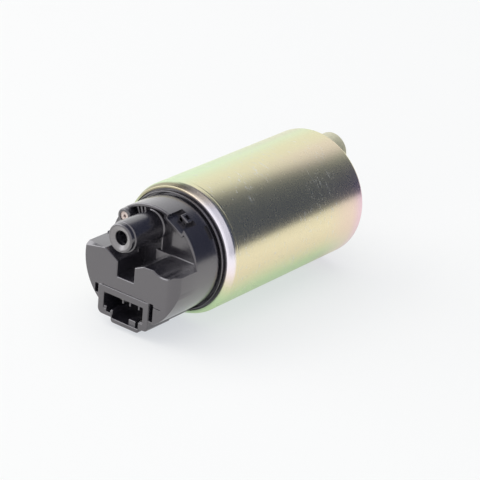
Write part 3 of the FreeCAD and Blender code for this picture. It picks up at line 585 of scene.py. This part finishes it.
def plain_finish(name, dark, light, rough, scale, metallic=0.0, stretch=EVEN, height=0.00001):
    """A finish whose colour, gloss and surface all follow one grain."""
    finish = Finish(name, metallic=metallic)
    grain = finish.noise(scale, 3.0, stretch)
    cloud = finish.noise(scale * 0.07, 2.0)
    share = finish.between(grain * 0.6 + cloud * 0.4, 0.3, 0.7)
    finish.link("Base Color", finish.mixed(share, dark, light))
    finish.link("Roughness", rough[0] + share * (rough[1] - rough[0]))
    finish.bump(grain, height, 0.6)
    return finish.material


chromated_steel = chromate()
black_moulding = moulded_plastic()
bronze = plain_finish(
    "sintered_bronze", (0.34, 0.22, 0.10), (0.60, 0.42, 0.22), (0.35, 0.55), 2400.0, 1.0
)
ground_steel = plain_finish(
    "ground_steel", (0.50, 0.50, 0.52), (0.68, 0.68, 0.70), (0.14, 0.26), 1800.0, 1.0,
    AROUND, 0.000003
)
stack_steel = banded_finish(
    "stacked_laminations", (0.10, 0.10, 0.11), (0.42, 0.42, 0.45), (0.5, 0.3), 0.0005, 1.0,
    0.00004
)
copper_wire = banded_finish(
    "enamelled_copper", (0.22, 0.05, 0.02), (0.80, 0.34, 0.14), (0.4, 0.2), 0.00055, 0.9,
    0.00012, 1.5
)
enamelled_wire = plain_finish(
    "enamelled_wire", (0.52, 0.17, 0.06), (0.80, 0.34, 0.14), (0.18, 0.34), 700.0, 0.9
)
ferrite = plain_finish(
    "sintered_ferrite", (0.03, 0.03, 0.035), (0.08, 0.08, 0.09), (0.45, 0.7), 1500.0
)
spring_wire = plain_finish(
    "spring_wire", (0.42, 0.42, 0.45), (0.64, 0.64, 0.66), (0.2, 0.3), 1600.0, 1.0
)
carbon = plain_finish(
    "pressed_carbon", (0.015, 0.015, 0.016), (0.05, 0.05, 0.055), (0.4, 0.6), 1700.0
)
tin = plain_finish(
    "tinned_brass", (0.60, 0.60, 0.56), (0.80, 0.80, 0.77), (0.15, 0.3), 1500.0, 1.0, ALONG
)
cream_plastic = plain_finish(
    "cream_moulding", (0.58, 0.47, 0.44), (0.76, 0.65, 0.61), (0.3, 0.45), 1300.0
)
brass = plain_finish(
    "turned_brass", (0.56, 0.38, 0.14), (0.78, 0.60, 0.30), (0.18, 0.32), 1500.0, 1.0, AROUND
)
aluminium = plain_finish(
    "cast_aluminium", (0.50, 0.50, 0.51), (0.68, 0.68, 0.69), (0.3, 0.5), 1200.0, 1.0
)
resin = plain_finish(
    "phenolic_resin", (0.06, 0.03, 0.02), (0.16, 0.09, 0.05), (0.35, 0.55), 1100.0
)
cover_plating = plain_finish(
    "cover_plating", (0.54, 0.52, 0.38), (0.68, 0.66, 0.49), (0.42, 0.56), 1300.0, 0.55
)

# The finish of each solid's own mesh, also where a finer piece stands for it
NODE_FINISHES = {
    "front_bearing": bronze,
    "rear_bearing": bronze,
    "shaft": ground_steel,
    "commutator": carbon,
    "armature_core": stack_steel,
    "armature_windings": copper_wire,
    "magnet_upper": ferrite,
    "magnet_lower": ferrite,
    "magnet_clip_left": spring_wire,
    "magnet_clip_right": spring_wire,
    "brush_left": carbon,
    "brush_right": carbon,
    "brush_spring_left": spring_wire,
    "brush_spring_right": spring_wire,
    "terminal_left": tin,
    "terminal_right": tin,
    "choke_left": copper_wire,
    "choke_right": copper_wire,
    "check_valve_seat": brass,
    "check_valve_poppet": cream_plastic,
    "check_valve_spring": spring_wire,
    "relief_valve_poppet": cream_plastic,
    "relief_valve_spring": spring_wire,
    "relief_valve_plug": cream_plastic,
    "pump_housing": aluminium,
    "impeller": resin,
    "thrust_plate": ground_steel,
    "case_tube": chromated_steel,
    "end_cap": black_moulding,
    "inlet_cover": cover_plating,
}
for name, material in NODE_FINISHES.items():
    for place in nodes[name].material_slots:
        place.material = material


# Pieces that stand for a solid

def case_tube():
    """Steel barrel with a rolled front edge and a rolled rear lip."""
    mesh = lathe([
        (LIP_BORE, -CURL, 0.12),
        (18.10, -CURL, 0.30),
        (18.45, -1.5, 1.6),
        (CASE_RADIUS, -0.1, 1.2),
        (CASE_RADIUS, 1.1, 0.3),
        (CASE_RADIUS - 0.04, 1.4, 0.3),
        (CASE_RADIUS, 1.7, 0.3),
        (CASE_RADIUS, BARREL, 0.7),
        (16.6, BARREL, 0.15),
        (16.6, BARREL - 0.8, 0.15),
        (CASE_INSIDE, BARREL - 0.8),
        (CASE_INSIDE, 0.0),
    ], steps=CASE_STEPS)
    finished("case_barrel", mesh, "root", chromated_steel, ["case_tube"])


def drum():
    """Drum, recess, flange and plug of the end cap."""
    body = lathe([
        (0.0, RECESS_FLOOR),
        (RECESS_RADIUS, RECESS_FLOOR, 0.35),
        (RECESS_RADIUS, DRUM_FRONT, 0.25),
        (DRUM_RADIUS, DRUM_FRONT, 0.35),
        (DRUM_RADIUS, -3.9, 0.1),
        (15.9, -3.8),
        (15.9, -2.4),
        (16.65, -2.4),
        (16.65, -3.45, 0.13),
        (16.98, -3.45, 0.13),
        (16.98, -1.9),
        (LIP_BORE - 0.02, -1.9),
        (LIP_BORE - 0.02, 0.0),
        (CASE_INSIDE - 0.02, 0.0),
        (CASE_INSIDE - 0.02, 8.0),
        (14.8, 8.0),
        (14.8, CAVITY_FRONT),
        (0.0, CAVITY_FRONT),
    ])
    # The rim is lower between the tower's left shoulder and the relief valve's boss
    gap = prism(box(12.6, 19.0, -4.7, 4.7), DRUM_FRONT - OVERSHOOT, -10.6)
    return combined(body, [turned_about_axis(gap, LOW_RIM_TURN)], "DIFFERENCE")


def rise(radius, height):
    """Degrees from +X to the place at a height on the right-hand side of a circle."""
    return math.degrees(math.asin(height / radius))


def tower_outline():
    """Front outline of the tower in the drum's circle: two shoulders with the trough between."""
    low = rise(DRUM_RADIUS, TOWER_LOW)
    left = 180 - rise(DRUM_RADIUS, LEFT_SHOULDER)
    right = 360 + rise(DRUM_RADIUS, RIGHT_SHOULDER)
    return (
        arc(DRUM_RADIUS, left, 180 - low, 40)
        + arc(DRUM_RADIUS, 360 + low, right, 40)
        + [(4.6, RIGHT_SHOULDER, 0.8), (TROUGH_RIGHT, 0.9, 0.3), (TROUGH_RIGHT, TROUGH_FLOOR, 0.25)]
        + [(TROUGH_LEFT, TROUGH_FLOOR, 0.25), (TROUGH_LEFT, 0.9, 0.3), (-9.2, 3.35, 0.8)]
    )


def tower():
    """Connector tower in front of the drum, with its rounded right-hand edge."""
    front = prism(tower_outline(), TOWER_FRONT, DRUM_FRONT + 1.0, bevel=0.35)
    # Seen from above, with corners that lie clear of the tower everywhere but on the right
    clear = 25.0
    behind = -5.0
    before = TOWER_FRONT - 2.0
    rounding = 3.9
    right = DRUM_RADIUS + 0.3
    centre = right - rounding
    side = prism(
        [(-clear, behind), (-clear, before), (centre, before), (centre, TOWER_FRONT)]
        + arc(rounding, -90, 0, 12, centre, TOWER_FRONT + rounding)
        + [(right, behind)],
        -clear,
        clear,
        along="Z",
    )
    front = combined(front, [side], "INTERSECT")
    return [combined(front, [shoulder_bevel()], "DIFFERENCE")]


def shoulder_bevel():
    """Cuts the front edge off the left shoulder, more towards the drum's outline."""
    top = 4.6
    front = -23.0
    slope = 0.857
    corners = []
    for x, edge in ((-18.0, 1.45), (-8.9, 3.3)):
        low = edge + (front - TOWER_FRONT) * slope
        rear = TOWER_FRONT + (top - edge) / slope
        corners += [(x, front, low), (x, rear, top), (x, front, top)]
    faces = [(0, 1, 2), (5, 4, 3), (0, 3, 4, 1), (1, 4, 5, 2), (2, 5, 3, 0)]
    return solid(corners, faces)


def ledges():
    """The tower's roots in the recess, behind the drum's rim."""
    inside = DRUM_RADIUS - 0.5
    right_top = 4.1
    left_top = 3.5
    low = rise(inside, TOWER_LOW)
    right = arc(inside, low, rise(inside, right_top), 24)
    left = arc(inside, 180 - rise(inside, left_top), 180 - low, 24)
    right = [(TROUGH_RIGHT, right_top, 0.4), (TROUGH_RIGHT, TOWER_LOW)] + right
    left = left + [(TROUGH_LEFT, TOWER_LOW), (TROUGH_LEFT, left_top, 0.4)]
    under = box(TROUGH_LEFT - 0.05, TROUGH_RIGHT + 0.05, TOWER_LOW, TROUGH_FLOOR)
    front = DRUM_FRONT + 0.2
    behind = RECESS_FLOOR + 0.5
    return [
        prism(right, front, behind, bevel=0.3),
        prism(left, front, behind, bevel=0.3),
        prism(under, front, behind),
    ]


def connector_frame():
    """Frame round the socket, the bump over the latch recess and the rear extension."""
    left = CONNECTOR_X - 8.9
    right = CONNECTOR_X + 8.9
    frame_rear = DRUM_FRONT + 1.0
    ring = [(left, -16.3, 1.6), (right, -16.3, 1.2), (right, -7.6, 0.5), (left, -7.6, 0.5)]
    bump = [(-5.7, -17.7, 0.9), (4.3, -17.7, 0.9), (4.3, -14.0), (-5.7, -14.0)]
    left += 2.0
    right -= 1.0
    extension = [(left, -16.6, 0.8), (right, -16.6, 0.8), (right, -10.0), (left, -10.0)]
    return [
        prism(ring, FRAME_FRONT, frame_rear, bevel=0.3),
        prism(bump, FRAME_FRONT, frame_rear, bevel=0.3),
        prism(extension, DRUM_FRONT - 0.5, -3.2),
    ]


def outlet():
    """Outlet pipe with its lip, bead and collar, and the boss of the relief valve."""
    pipe = lathe(
        [
            (0.0, -22.9),
            (2.06, -22.9),
            (2.06, -24.4, 0.2),
            (3.35, -24.9, 0.25),
            (4.08, -24.9, 0.45),
            (4.08, -23.5, 0.10),
            (4.40, -23.3, 0.22),
            (4.40, -12.2, 0.2),
            (4.9, -12.0, 0.25),
            (4.9, -9.0),
            (0.0, -9.0),
        ],
        PIPE_X,
        PIPE_Z,
        steps=PIPE_STEPS,
    )
    boss = lathe(
        [(0.0, -15.0), (2.25, -15.0, 0.35), (2.25, CAVITY_FRONT), (0.0, CAVITY_FRONT)],
        RELIEF_X,
        RELIEF_Z,
        steps=SMALL_STEPS,
    )
    return [pipe, boss]


def pocket_wall():
    """Inner wall of the pocket that is let into the drum's side."""
    wall = prism(box(13.6, 15.6, -3.9, 3.9, 0.6), DRUM_FRONT, RECESS_FLOOR + 0.5, bevel=0.2)
    return turned_about_axis(wall, POCKET_TURN)


def recess_webs():
    """Webs in the recess: one beside the pipe and three at the drum's wall."""
    foot = RECESS_FLOOR + 0.3
    webs = [prism(box(PIPE_X + 4.3, PIPE_X + 4.9, 3.6, 8.0), -12.6, foot, bevel=0.15)]
    for turn in (103.0, 108.0, 113.0):
        rib = prism(box(12.9, 15.4, -0.32, 0.32), -13.0, foot, bevel=0.12)
        webs.append(turned_about_axis(rib, turn))
    return webs


def bore(profile, x, z):
    """A small turned cutter on its own centre line."""
    return lathe(profile, x, z, steps=SMALL_STEPS)


def cap_cutters():
    """Everything that is cut out of the end cap."""
    left = CONNECTOR_X - 6.9
    right = CONNECTOR_X + 6.9
    scoop = [
        (0.0, -26.0),
        (6.3, -26.0),
        (6.3, TOWER_FRONT),
        (6.0, TOWER_FRONT + 0.3),
        (6.0, -13.3),
        (0.0, -13.3),
    ]
    outlet_bore = [
        (0.0, -24.0),
        (2.0, -24.0),
        (2.0, -18.6),
        (3.1, -18.6),
        (3.1, -6.0),
        (0.0, -6.0),
    ]
    relief_bore = [
        (0.0, -17.0),
        (1.6, -17.0),
        (1.45, -15.0, 0.1),
        (1.36, -14.72),
        (1.6, -14.70),
        (1.6, -8.6),
        (0.8, -8.6),
        (0.8, -6.0),
        (0.0, -6.0),
    ]
    slot_rear = TOWER_FRONT + 4.0
    passage_front = SOCKET_BOTTOM - 0.5
    pocket = prism(box(14.5, 19.0, -3.0, 3.0, 0.2), DRUM_FRONT, -7.6, flare=0.2)
    window = prism(box(15.3, 19.0, -2.0, 2.0, 0.2), -5.7, -4.3)
    return [
        bore(scoop, 11.2, 7.35),
        # Socket, the latch recess under it and the notch beside the latch
        prism(box(left, right, -14.3, -9.6, 0.2), FRAME_FRONT, SOCKET_BOTTOM, flare=0.25),
        prism(box(-5.35, 3.95, -16.4, -13.9, 0.2), FRAME_FRONT, SOCKET_BOTTOM, flare=0.25),
        prism(box(-7.4, -5.9, -15.0, -13.9, 0.2), FRAME_FRONT, SOCKET_BOTTOM, flare=0.12),
        # Slots on both sides of the frame
        prism(box(7.3, 8.6, -12.7, -7.5, 0.2), TOWER_FRONT, slot_rear, flare=0.12),
        prism(box(-11.9, -10.8, -10.6, -7.9, 0.2), TOWER_FRONT, slot_rear, flare=0.12),
        # Joint lines beside the slot and above the frame
        prism(box(8.6, 11.2, -8.40, -8.12), TOWER_FRONT, TOWER_FRONT + 0.35, flare=0.06),
        prism(box(-9.3, 6.0, -7.62, -7.42), TOWER_FRONT, TOWER_FRONT + 0.25, flare=0.06),
        # Outlet bore with its check valve chamber, and the relief valve's chamber and seat
        bore(outlet_bore, PIPE_X, PIPE_Z),
        bore(relief_bore, RELIEF_X, RELIEF_Z),
        # Terminal passages
        prism(box(-5.95, -3.65, -12.3, -11.5), passage_front, -6.0),
        prism(box(0.45, 2.75, -12.3, -11.5), passage_front, -6.0),
        # Pocket and window in the drum's side
        turned_about_axis(pocket, POCKET_TURN),
        turned_about_axis(window, WINDOW_TURN),
    ]


def cap_details():
    """Small forms that are added once the openings are cut."""
    details = []
    rear = SOCKET_BOTTOM + 0.2
    # Key ribs under the socket's upper wall
    for rib_x in (-1.8, 0.7, 3.8):
        rib = box(rib_x - 0.25, rib_x + 0.25, -10.8, -9.3)
        details.append(prism(rib, FRAME_FRONT + 0.2, rear, bevel=0.12))
    # Latch lug with its sloping back, and the blocks in the lower corners
    lug_front = FRAME_FRONT + 0.6
    lug = [
        (lug_front, -16.8),
        (rear, -16.8),
        (rear, -15.9),
        (-19.5, -14.8, 0.3),
        (lug_front, -14.8, 0.3),
    ]
    details.append(prism(lug, 0.35, 2.6, along="X"))
    for corners, depth, bevel in (
        (box(4.2, 5.5, -15.2, -14.0), 0.25, 0.25),
        (box(-8.7, -7.5, -14.8, -13.6), 0.25, 0.25),
        (box(-5.8, -5.15, -15.4, -14.0), 0.15, 0.2),
    ):
        details.append(prism(corners, FRAME_FRONT + depth, rear, bevel=bevel))
    # Snap lug on the pocket's floor
    snap = prism(box(14.2, 16.1, -1.55, 1.55, 0.35), -9.8, -7.3, bevel=0.4)
    hollow = prism(box(14.9, 17.0, -0.75, 0.75), -9.1, -7.9)
    details.append(turned_about_axis(combined(snap, [hollow], "DIFFERENCE"), POCKET_TURN))
    return details


def cap_inside():
    """Bearing boss and brush holders in the cavity, and what is cut out of them."""
    root = CAVITY_FRONT - 0.2
    rear = 3.4
    behind = 4.0
    forms = [prism(arc(5.0, 0, 354, 59), root, rear)]
    cuts = [
        prism(arc(2.0, 0, 348, 29), -3.1, behind),
        prism(arc(3.6, 0, 354, 59), -1.6, behind),
    ]
    for brush in (-BRUSH_X, BRUSH_X):
        forms.append(prism(box(brush - 3.25, brush + 3.25, -4.05, 4.05), root, rear))
        cuts.append(prism(box(brush - 2.35, brush + 2.35, -3.15, 3.15), CAVITY_FRONT, behind))
    return forms, cuts


def end_cap():
    """Moulded end cap, united from its forms, cut and then dressed with its small parts."""
    inside, inside_cuts = cap_inside()
    forms = tower() + ledges() + connector_frame() + outlet() + recess_webs() + [pocket_wall()]
    mesh = combined(drum(), forms + inside, "UNION")
    mesh = combined(mesh, cap_cutters() + inside_cuts, "DIFFERENCE")
    mesh = combined(mesh, cap_details(), "UNION")
    finished("end_cap_moulding", mesh, "root", black_moulding, ["end_cap"])


def inlet_cover():
    """Inlet cover inside the rear lip, with the nozzle for the strainer."""
    plate = lathe([
        (0.0, 56.4),
        (2.0, 56.4),
        (2.0, 54.5),
        (CASE_INSIDE - 0.05, 54.5),
        (CASE_INSIDE - 0.05, 59.0),
        (16.3, 59.0),
        (16.3, 60.4, 0.4),
        (15.2, 60.4, 0.2),
        (15.0, 60.0, 0.2),
        (0.0, 60.0),
    ])
    nozzle = lathe(
        [
            (0.0, 57.0),
            (6.3, 57.0),
            (6.3, 60.1),
            (5.7, 60.6, 0.3),
            (5.4, 61.4, 0.4),
            (5.4, 69.0, 0.5),
            (0.0, 69.0),
        ],
        0.0,
        NOZZLE_Z,
        steps=SMALL_STEPS,
    )
    inlet = [(0.0, 56.5), (4.2, 56.5), (4.2, 68.6), (4.6, 69.0), (4.6, 72.0), (0.0, 72.0)]
    port = [(0.0, 54.0), (1.3, 54.0), (1.3, 57.0), (0.0, 57.0)]
    mesh = combined(plate, [nozzle], "UNION")
    mesh = combined(mesh, [bore(inlet, 0.0, NOZZLE_Z), bore(port, 0.0, 12.9)], "DIFFERENCE")
    finished("inlet_cover_casting", mesh, "root", cover_plating, ["inlet_cover"])


def coil_tree():
    """Geometry Nodes that wind a closed wire along +Y, from sizes in millimetres."""
    tree = bpy.data.node_groups.new("coil", "GeometryNodeTree")
    face = tree.interface
    face.new_socket("Geometry", in_out="OUTPUT", socket_type="NodeSocketGeometry")
    for name in ("Turns", "Radius", "Wire", "Length"):
        face.new_socket(name, in_out="INPUT", socket_type="NodeSocketFloat")
    face.new_socket("Place", in_out="INPUT", socket_type="NodeSocketVector")
    face.new_socket("Finish", in_out="INPUT", socket_type="NodeSocketMaterial")
    sizes = tree.nodes.new("NodeGroupInput")
    output = tree.nodes.new("NodeGroupOutput")
    spiral = tree.nodes.new("GeometryNodeCurveSpiral")
    spiral.inputs["Resolution"].default_value = 20
    tree.links.new(sizes.outputs["Turns"], spiral.inputs["Rotations"])
    tree.links.new(sizes.outputs["Radius"], spiral.inputs["Start Radius"])
    tree.links.new(sizes.outputs["Radius"], spiral.inputs["End Radius"])
    tree.links.new(sizes.outputs["Length"], spiral.inputs["Height"])
    wire = tree.nodes.new("GeometryNodeCurvePrimitiveCircle")
    wire.inputs["Resolution"].default_value = 10
    tree.links.new(sizes.outputs["Wire"], wire.inputs["Radius"])
    sweep = tree.nodes.new("GeometryNodeCurveToMesh")
    sweep.inputs["Fill Caps"].default_value = True
    tree.links.new(spiral.outputs[0], sweep.inputs["Curve"])
    tree.links.new(wire.outputs[0], sweep.inputs["Profile Curve"])
    turn = tree.nodes.new("GeometryNodeTransform")
    turn.inputs["Rotation"].default_value = (-math.pi / 2, 0.0, 0.0)
    tree.links.new(sweep.outputs[0], turn.inputs["Geometry"])
    tree.links.new(sizes.outputs["Place"], turn.inputs["Translation"])
    real = tree.nodes.new("GeometryNodeRealizeInstances")
    tree.links.new(turn.outputs[0], real.inputs[0])
    paint = tree.nodes.new("GeometryNodeSetMaterial")
    tree.links.new(real.outputs[0], paint.inputs["Geometry"])
    tree.links.new(sizes.outputs["Finish"], paint.inputs["Material"])
    tree.links.new(paint.outputs[0], output.inputs[0])
    return tree


COIL = coil_tree()


def coil(outer, wire, front, rear, turns, x, z, material):
    """A wound wire between two places along the axis."""
    holder = bpy.data.objects.new("winding", bpy.data.meshes.new("winding"))
    bpy.context.scene.collection.objects.link(holder)
    step = holder.modifiers.new("coil", "NODES")
    step.node_group = COIL
    values = {
        "Turns": float(turns),
        "Radius": outer - wire / 2,
        "Wire": wire / 2,
        "Length": rear - front - wire,
        "Place": (x, front + wire / 2, z),
        "Finish": material,
    }
    for item in COIL.interface.items_tree:
        if item.name in values:
            step[item.identifier] = values[item.name]
    graph = bpy.context.evaluated_depsgraph_get()
    mesh = bpy.data.meshes.new_from_object(holder.evaluated_get(graph))
    bpy.data.objects.remove(holder)
    return mesh


def centre_line(low, high):
    """The x and z of a piece's middle, in millimetres."""
    return (low[0] + high[0]) / 2 / MM, (low[2] + high[2]) / 2 / MM


def spring(node, outer, wire, turns):
    """A coil spring in the place of its sleeve in the solids."""
    low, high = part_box(node)
    x, z = centre_line(low, high)
    mesh = coil(outer, wire, low[1] / MM, high[1] / MM, turns, x, z, spring_wire)
    piece = finished(node + "_coil", mesh, "root", spring_wire, [node])
    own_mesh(piece)


def choke(node):
    """Suppression choke: copper wire on a ferrite rod."""
    low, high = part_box(node)
    x, z = centre_line(low, high)
    front = low[1] / MM
    rear = high[1] / MM
    radius = 1.15
    outline = [(0.0, front), (radius, front, 0.2), (radius, rear, 0.2), (0.0, rear)]
    rod = lathe(outline, x, z, steps=ROD_STEPS)
    finished(node + "_rod", rod, "root", ferrite, [node])
    bare_end = 0.7
    winding = coil(1.9, 0.75, front + bare_end, rear - bare_end, 10, x, z, enamelled_wire)
    finished(node + "_winding", winding, "root", enamelled_wire)


case_tube()
end_cap()
inlet_cover()
# Each spring's outer radius, wire and turns
spring("brush_spring_left", 1.9, 0.40, 6)
spring("brush_spring_right", 1.9, 0.40, 6)
spring("check_valve_spring", 2.6, 0.45, 6)
spring("relief_valve_spring", 1.3, 0.40, 5)
choke("choke_left")
choke("choke_right")


# Floor, lights and camera

def set_up_floor():
    """A pale floor that the case lies on, lit partly by its own glow where it is seen."""
    bpy.ops.mesh.primitive_plane_add(size=8.0, location=(0.0, 0.02, -CASE_RADIUS * MM))
    floor = bpy.context.object
    floor.name = "floor"
    finish = Finish("floor_paper", base_color=(0.95, 0.90, 0.82, 1.0), roughness=0.9, specular=0.1)
    glow = finish.node(
        "ShaderNodeEmission", None, {"Color": (0.92, 0.953, 1.0, 1.0), "Strength": 0.95}
    )
    share = finish.seen(direct=0.66, mirrored=0.45)
    finish.show(finish.node("ShaderNodeMixShader", None, {0: share, 1: finish.shader, 2: glow}))
    floor.data.materials.append(finish.material)


def set_up_world():
    """Soft light from all sides, with a white background where it is seen."""
    world = bpy.data.worlds.new("studio")
    bpy.context.scene.world = world
    world.use_nodes = True
    tree = Tree(world.node_tree)
    soft = tree.node(
        "ShaderNodeBackground", None, {"Color": (0.90, 0.95, 1.0, 1.0), "Strength": 0.38}
    )
    white = tree.node(
        "ShaderNodeBackground", None, {"Color": (1.0, 1.0, 1.0, 1.0), "Strength": 1.0}
    )
    mix = tree.node("ShaderNodeMixShader", None, {0: tree.seen(), 1: soft, 2: white})
    tree.node("ShaderNodeOutputWorld", None, {"Surface": mix})


def lamp(name, place, target, width, height, power, mirrored=False):
    """A large soft light that points at a place, and that reflections show only if asked."""
    light = bpy.data.lights.new(name, "AREA")
    light.shape = "RECTANGLE"
    light.size = width
    light.size_y = height
    light.energy = power
    holder = bpy.data.objects.new(name, light)
    holder.location = place
    holder.rotation_euler = (Vector(target) - Vector(place)).to_track_quat("-Z", "Y").to_euler()
    holder.visible_glossy = mirrored
    bpy.context.scene.collection.objects.link(holder)


def dark_card():
    """A curved dark card beside the pump, with a faded upper edge, which only reflections show."""
    reach = 0.2
    first_turn = -3.5
    last_turn = 155.0
    front = 0.02
    depth = 0.72
    columns = 40
    rows = 12
    vertices = []
    for k in range(columns + 1):
        turn = math.radians(first_turn + (last_turn - first_turn) * k / columns)
        for i in range(rows + 1):
            y = front + depth * i / rows
            vertices.append((reach * math.cos(turn), y, reach * math.sin(turn)))
    faces = []
    for k in range(columns):
        for i in range(rows):
            corner = k * (rows + 1) + i
            faces.append([corner, corner + 1, corner + rows + 2, corner + rows + 1])
    mesh = bpy.data.meshes.new("dark_card")
    mesh.from_pydata(vertices, [], faces)
    card = bpy.data.objects.new("dark_card", mesh)
    bpy.context.scene.collection.objects.link(card)
    finish = Finish("dark_card")
    x, y, z = parts_of(finish)
    turn = finish.node("ShaderNodeMath", {"operation": "ARCTAN2"}, {0: z, 1: x})
    # The fade lies lower further back
    fade = finish.between(turn + (y - 0.2) * 4.5, 1.50, 1.84)
    shade = finish.node("ShaderNodeEmission", None, {"Color": (0.064, 0.077, 0.132, 1.0)})
    clear = finish.node("ShaderNodeBsdfTransparent")
    finish.show(finish.node("ShaderNodeMixShader", None, {0: fade, 1: shade, 2: clear}))
    mesh.materials.append(finish.material)
    card.visible_camera = False
    card.visible_diffuse = False
    card.visible_shadow = False


def set_up_camera():
    """A long lens at the photograph's viewing angle."""
    azimuth = math.radians(36.0)
    elevation = math.radians(24.07)
    roll = math.radians(5.12)
    place = Vector((0.3523, -0.4579, 0.2617))
    picture_width = 480
    focal_pixels = 2306.7
    back = Vector((
        math.sin(azimuth) * math.cos(elevation),
        -math.cos(azimuth) * math.cos(elevation),
        math.sin(elevation),
    ))
    right = Vector((math.cos(azimuth), math.sin(azimuth), 0.0))
    up = back.cross(right)
    side = right * math.cos(roll) + up * math.sin(roll)
    top = up * math.cos(roll) - right * math.sin(roll)
    data = bpy.data.cameras.new("camera")
    data.sensor_width = 36.0
    data.lens = data.sensor_width * focal_pixels / picture_width
    data.clip_start = 0.01
    data.clip_end = 20.0
    camera = bpy.data.objects.new("camera", data)
    camera.matrix_world = Matrix((
        (side.x, top.x, back.x, place.x),
        (side.y, top.y, back.y, place.y),
        (side.z, top.z, back.z, place.z),
        (0.0, 0.0, 0.0, 1.0),
    ))
    bpy.context.scene.collection.objects.link(camera)
    bpy.context.scene.camera = camera


set_up_floor()
set_up_world()
dark_card()
pump = (0.0, 0.0, 0.0)
lamp("overhead softbox", (-0.30, 0.10, 1.60), (0.0, 0.02, 0.0), 2.6, 2.6, power=24.0)
lamp("left softbox", (-1.28, -0.62, 0.76), pump, 1.8, 1.6, power=17.0, mirrored=True)
lamp("front softbox", (0.70, -1.26, 0.72), pump, 1.8, 1.5, power=10.5)
set_up_camera()
bpy.context.scene.view_settings.view_transform = "Standard"
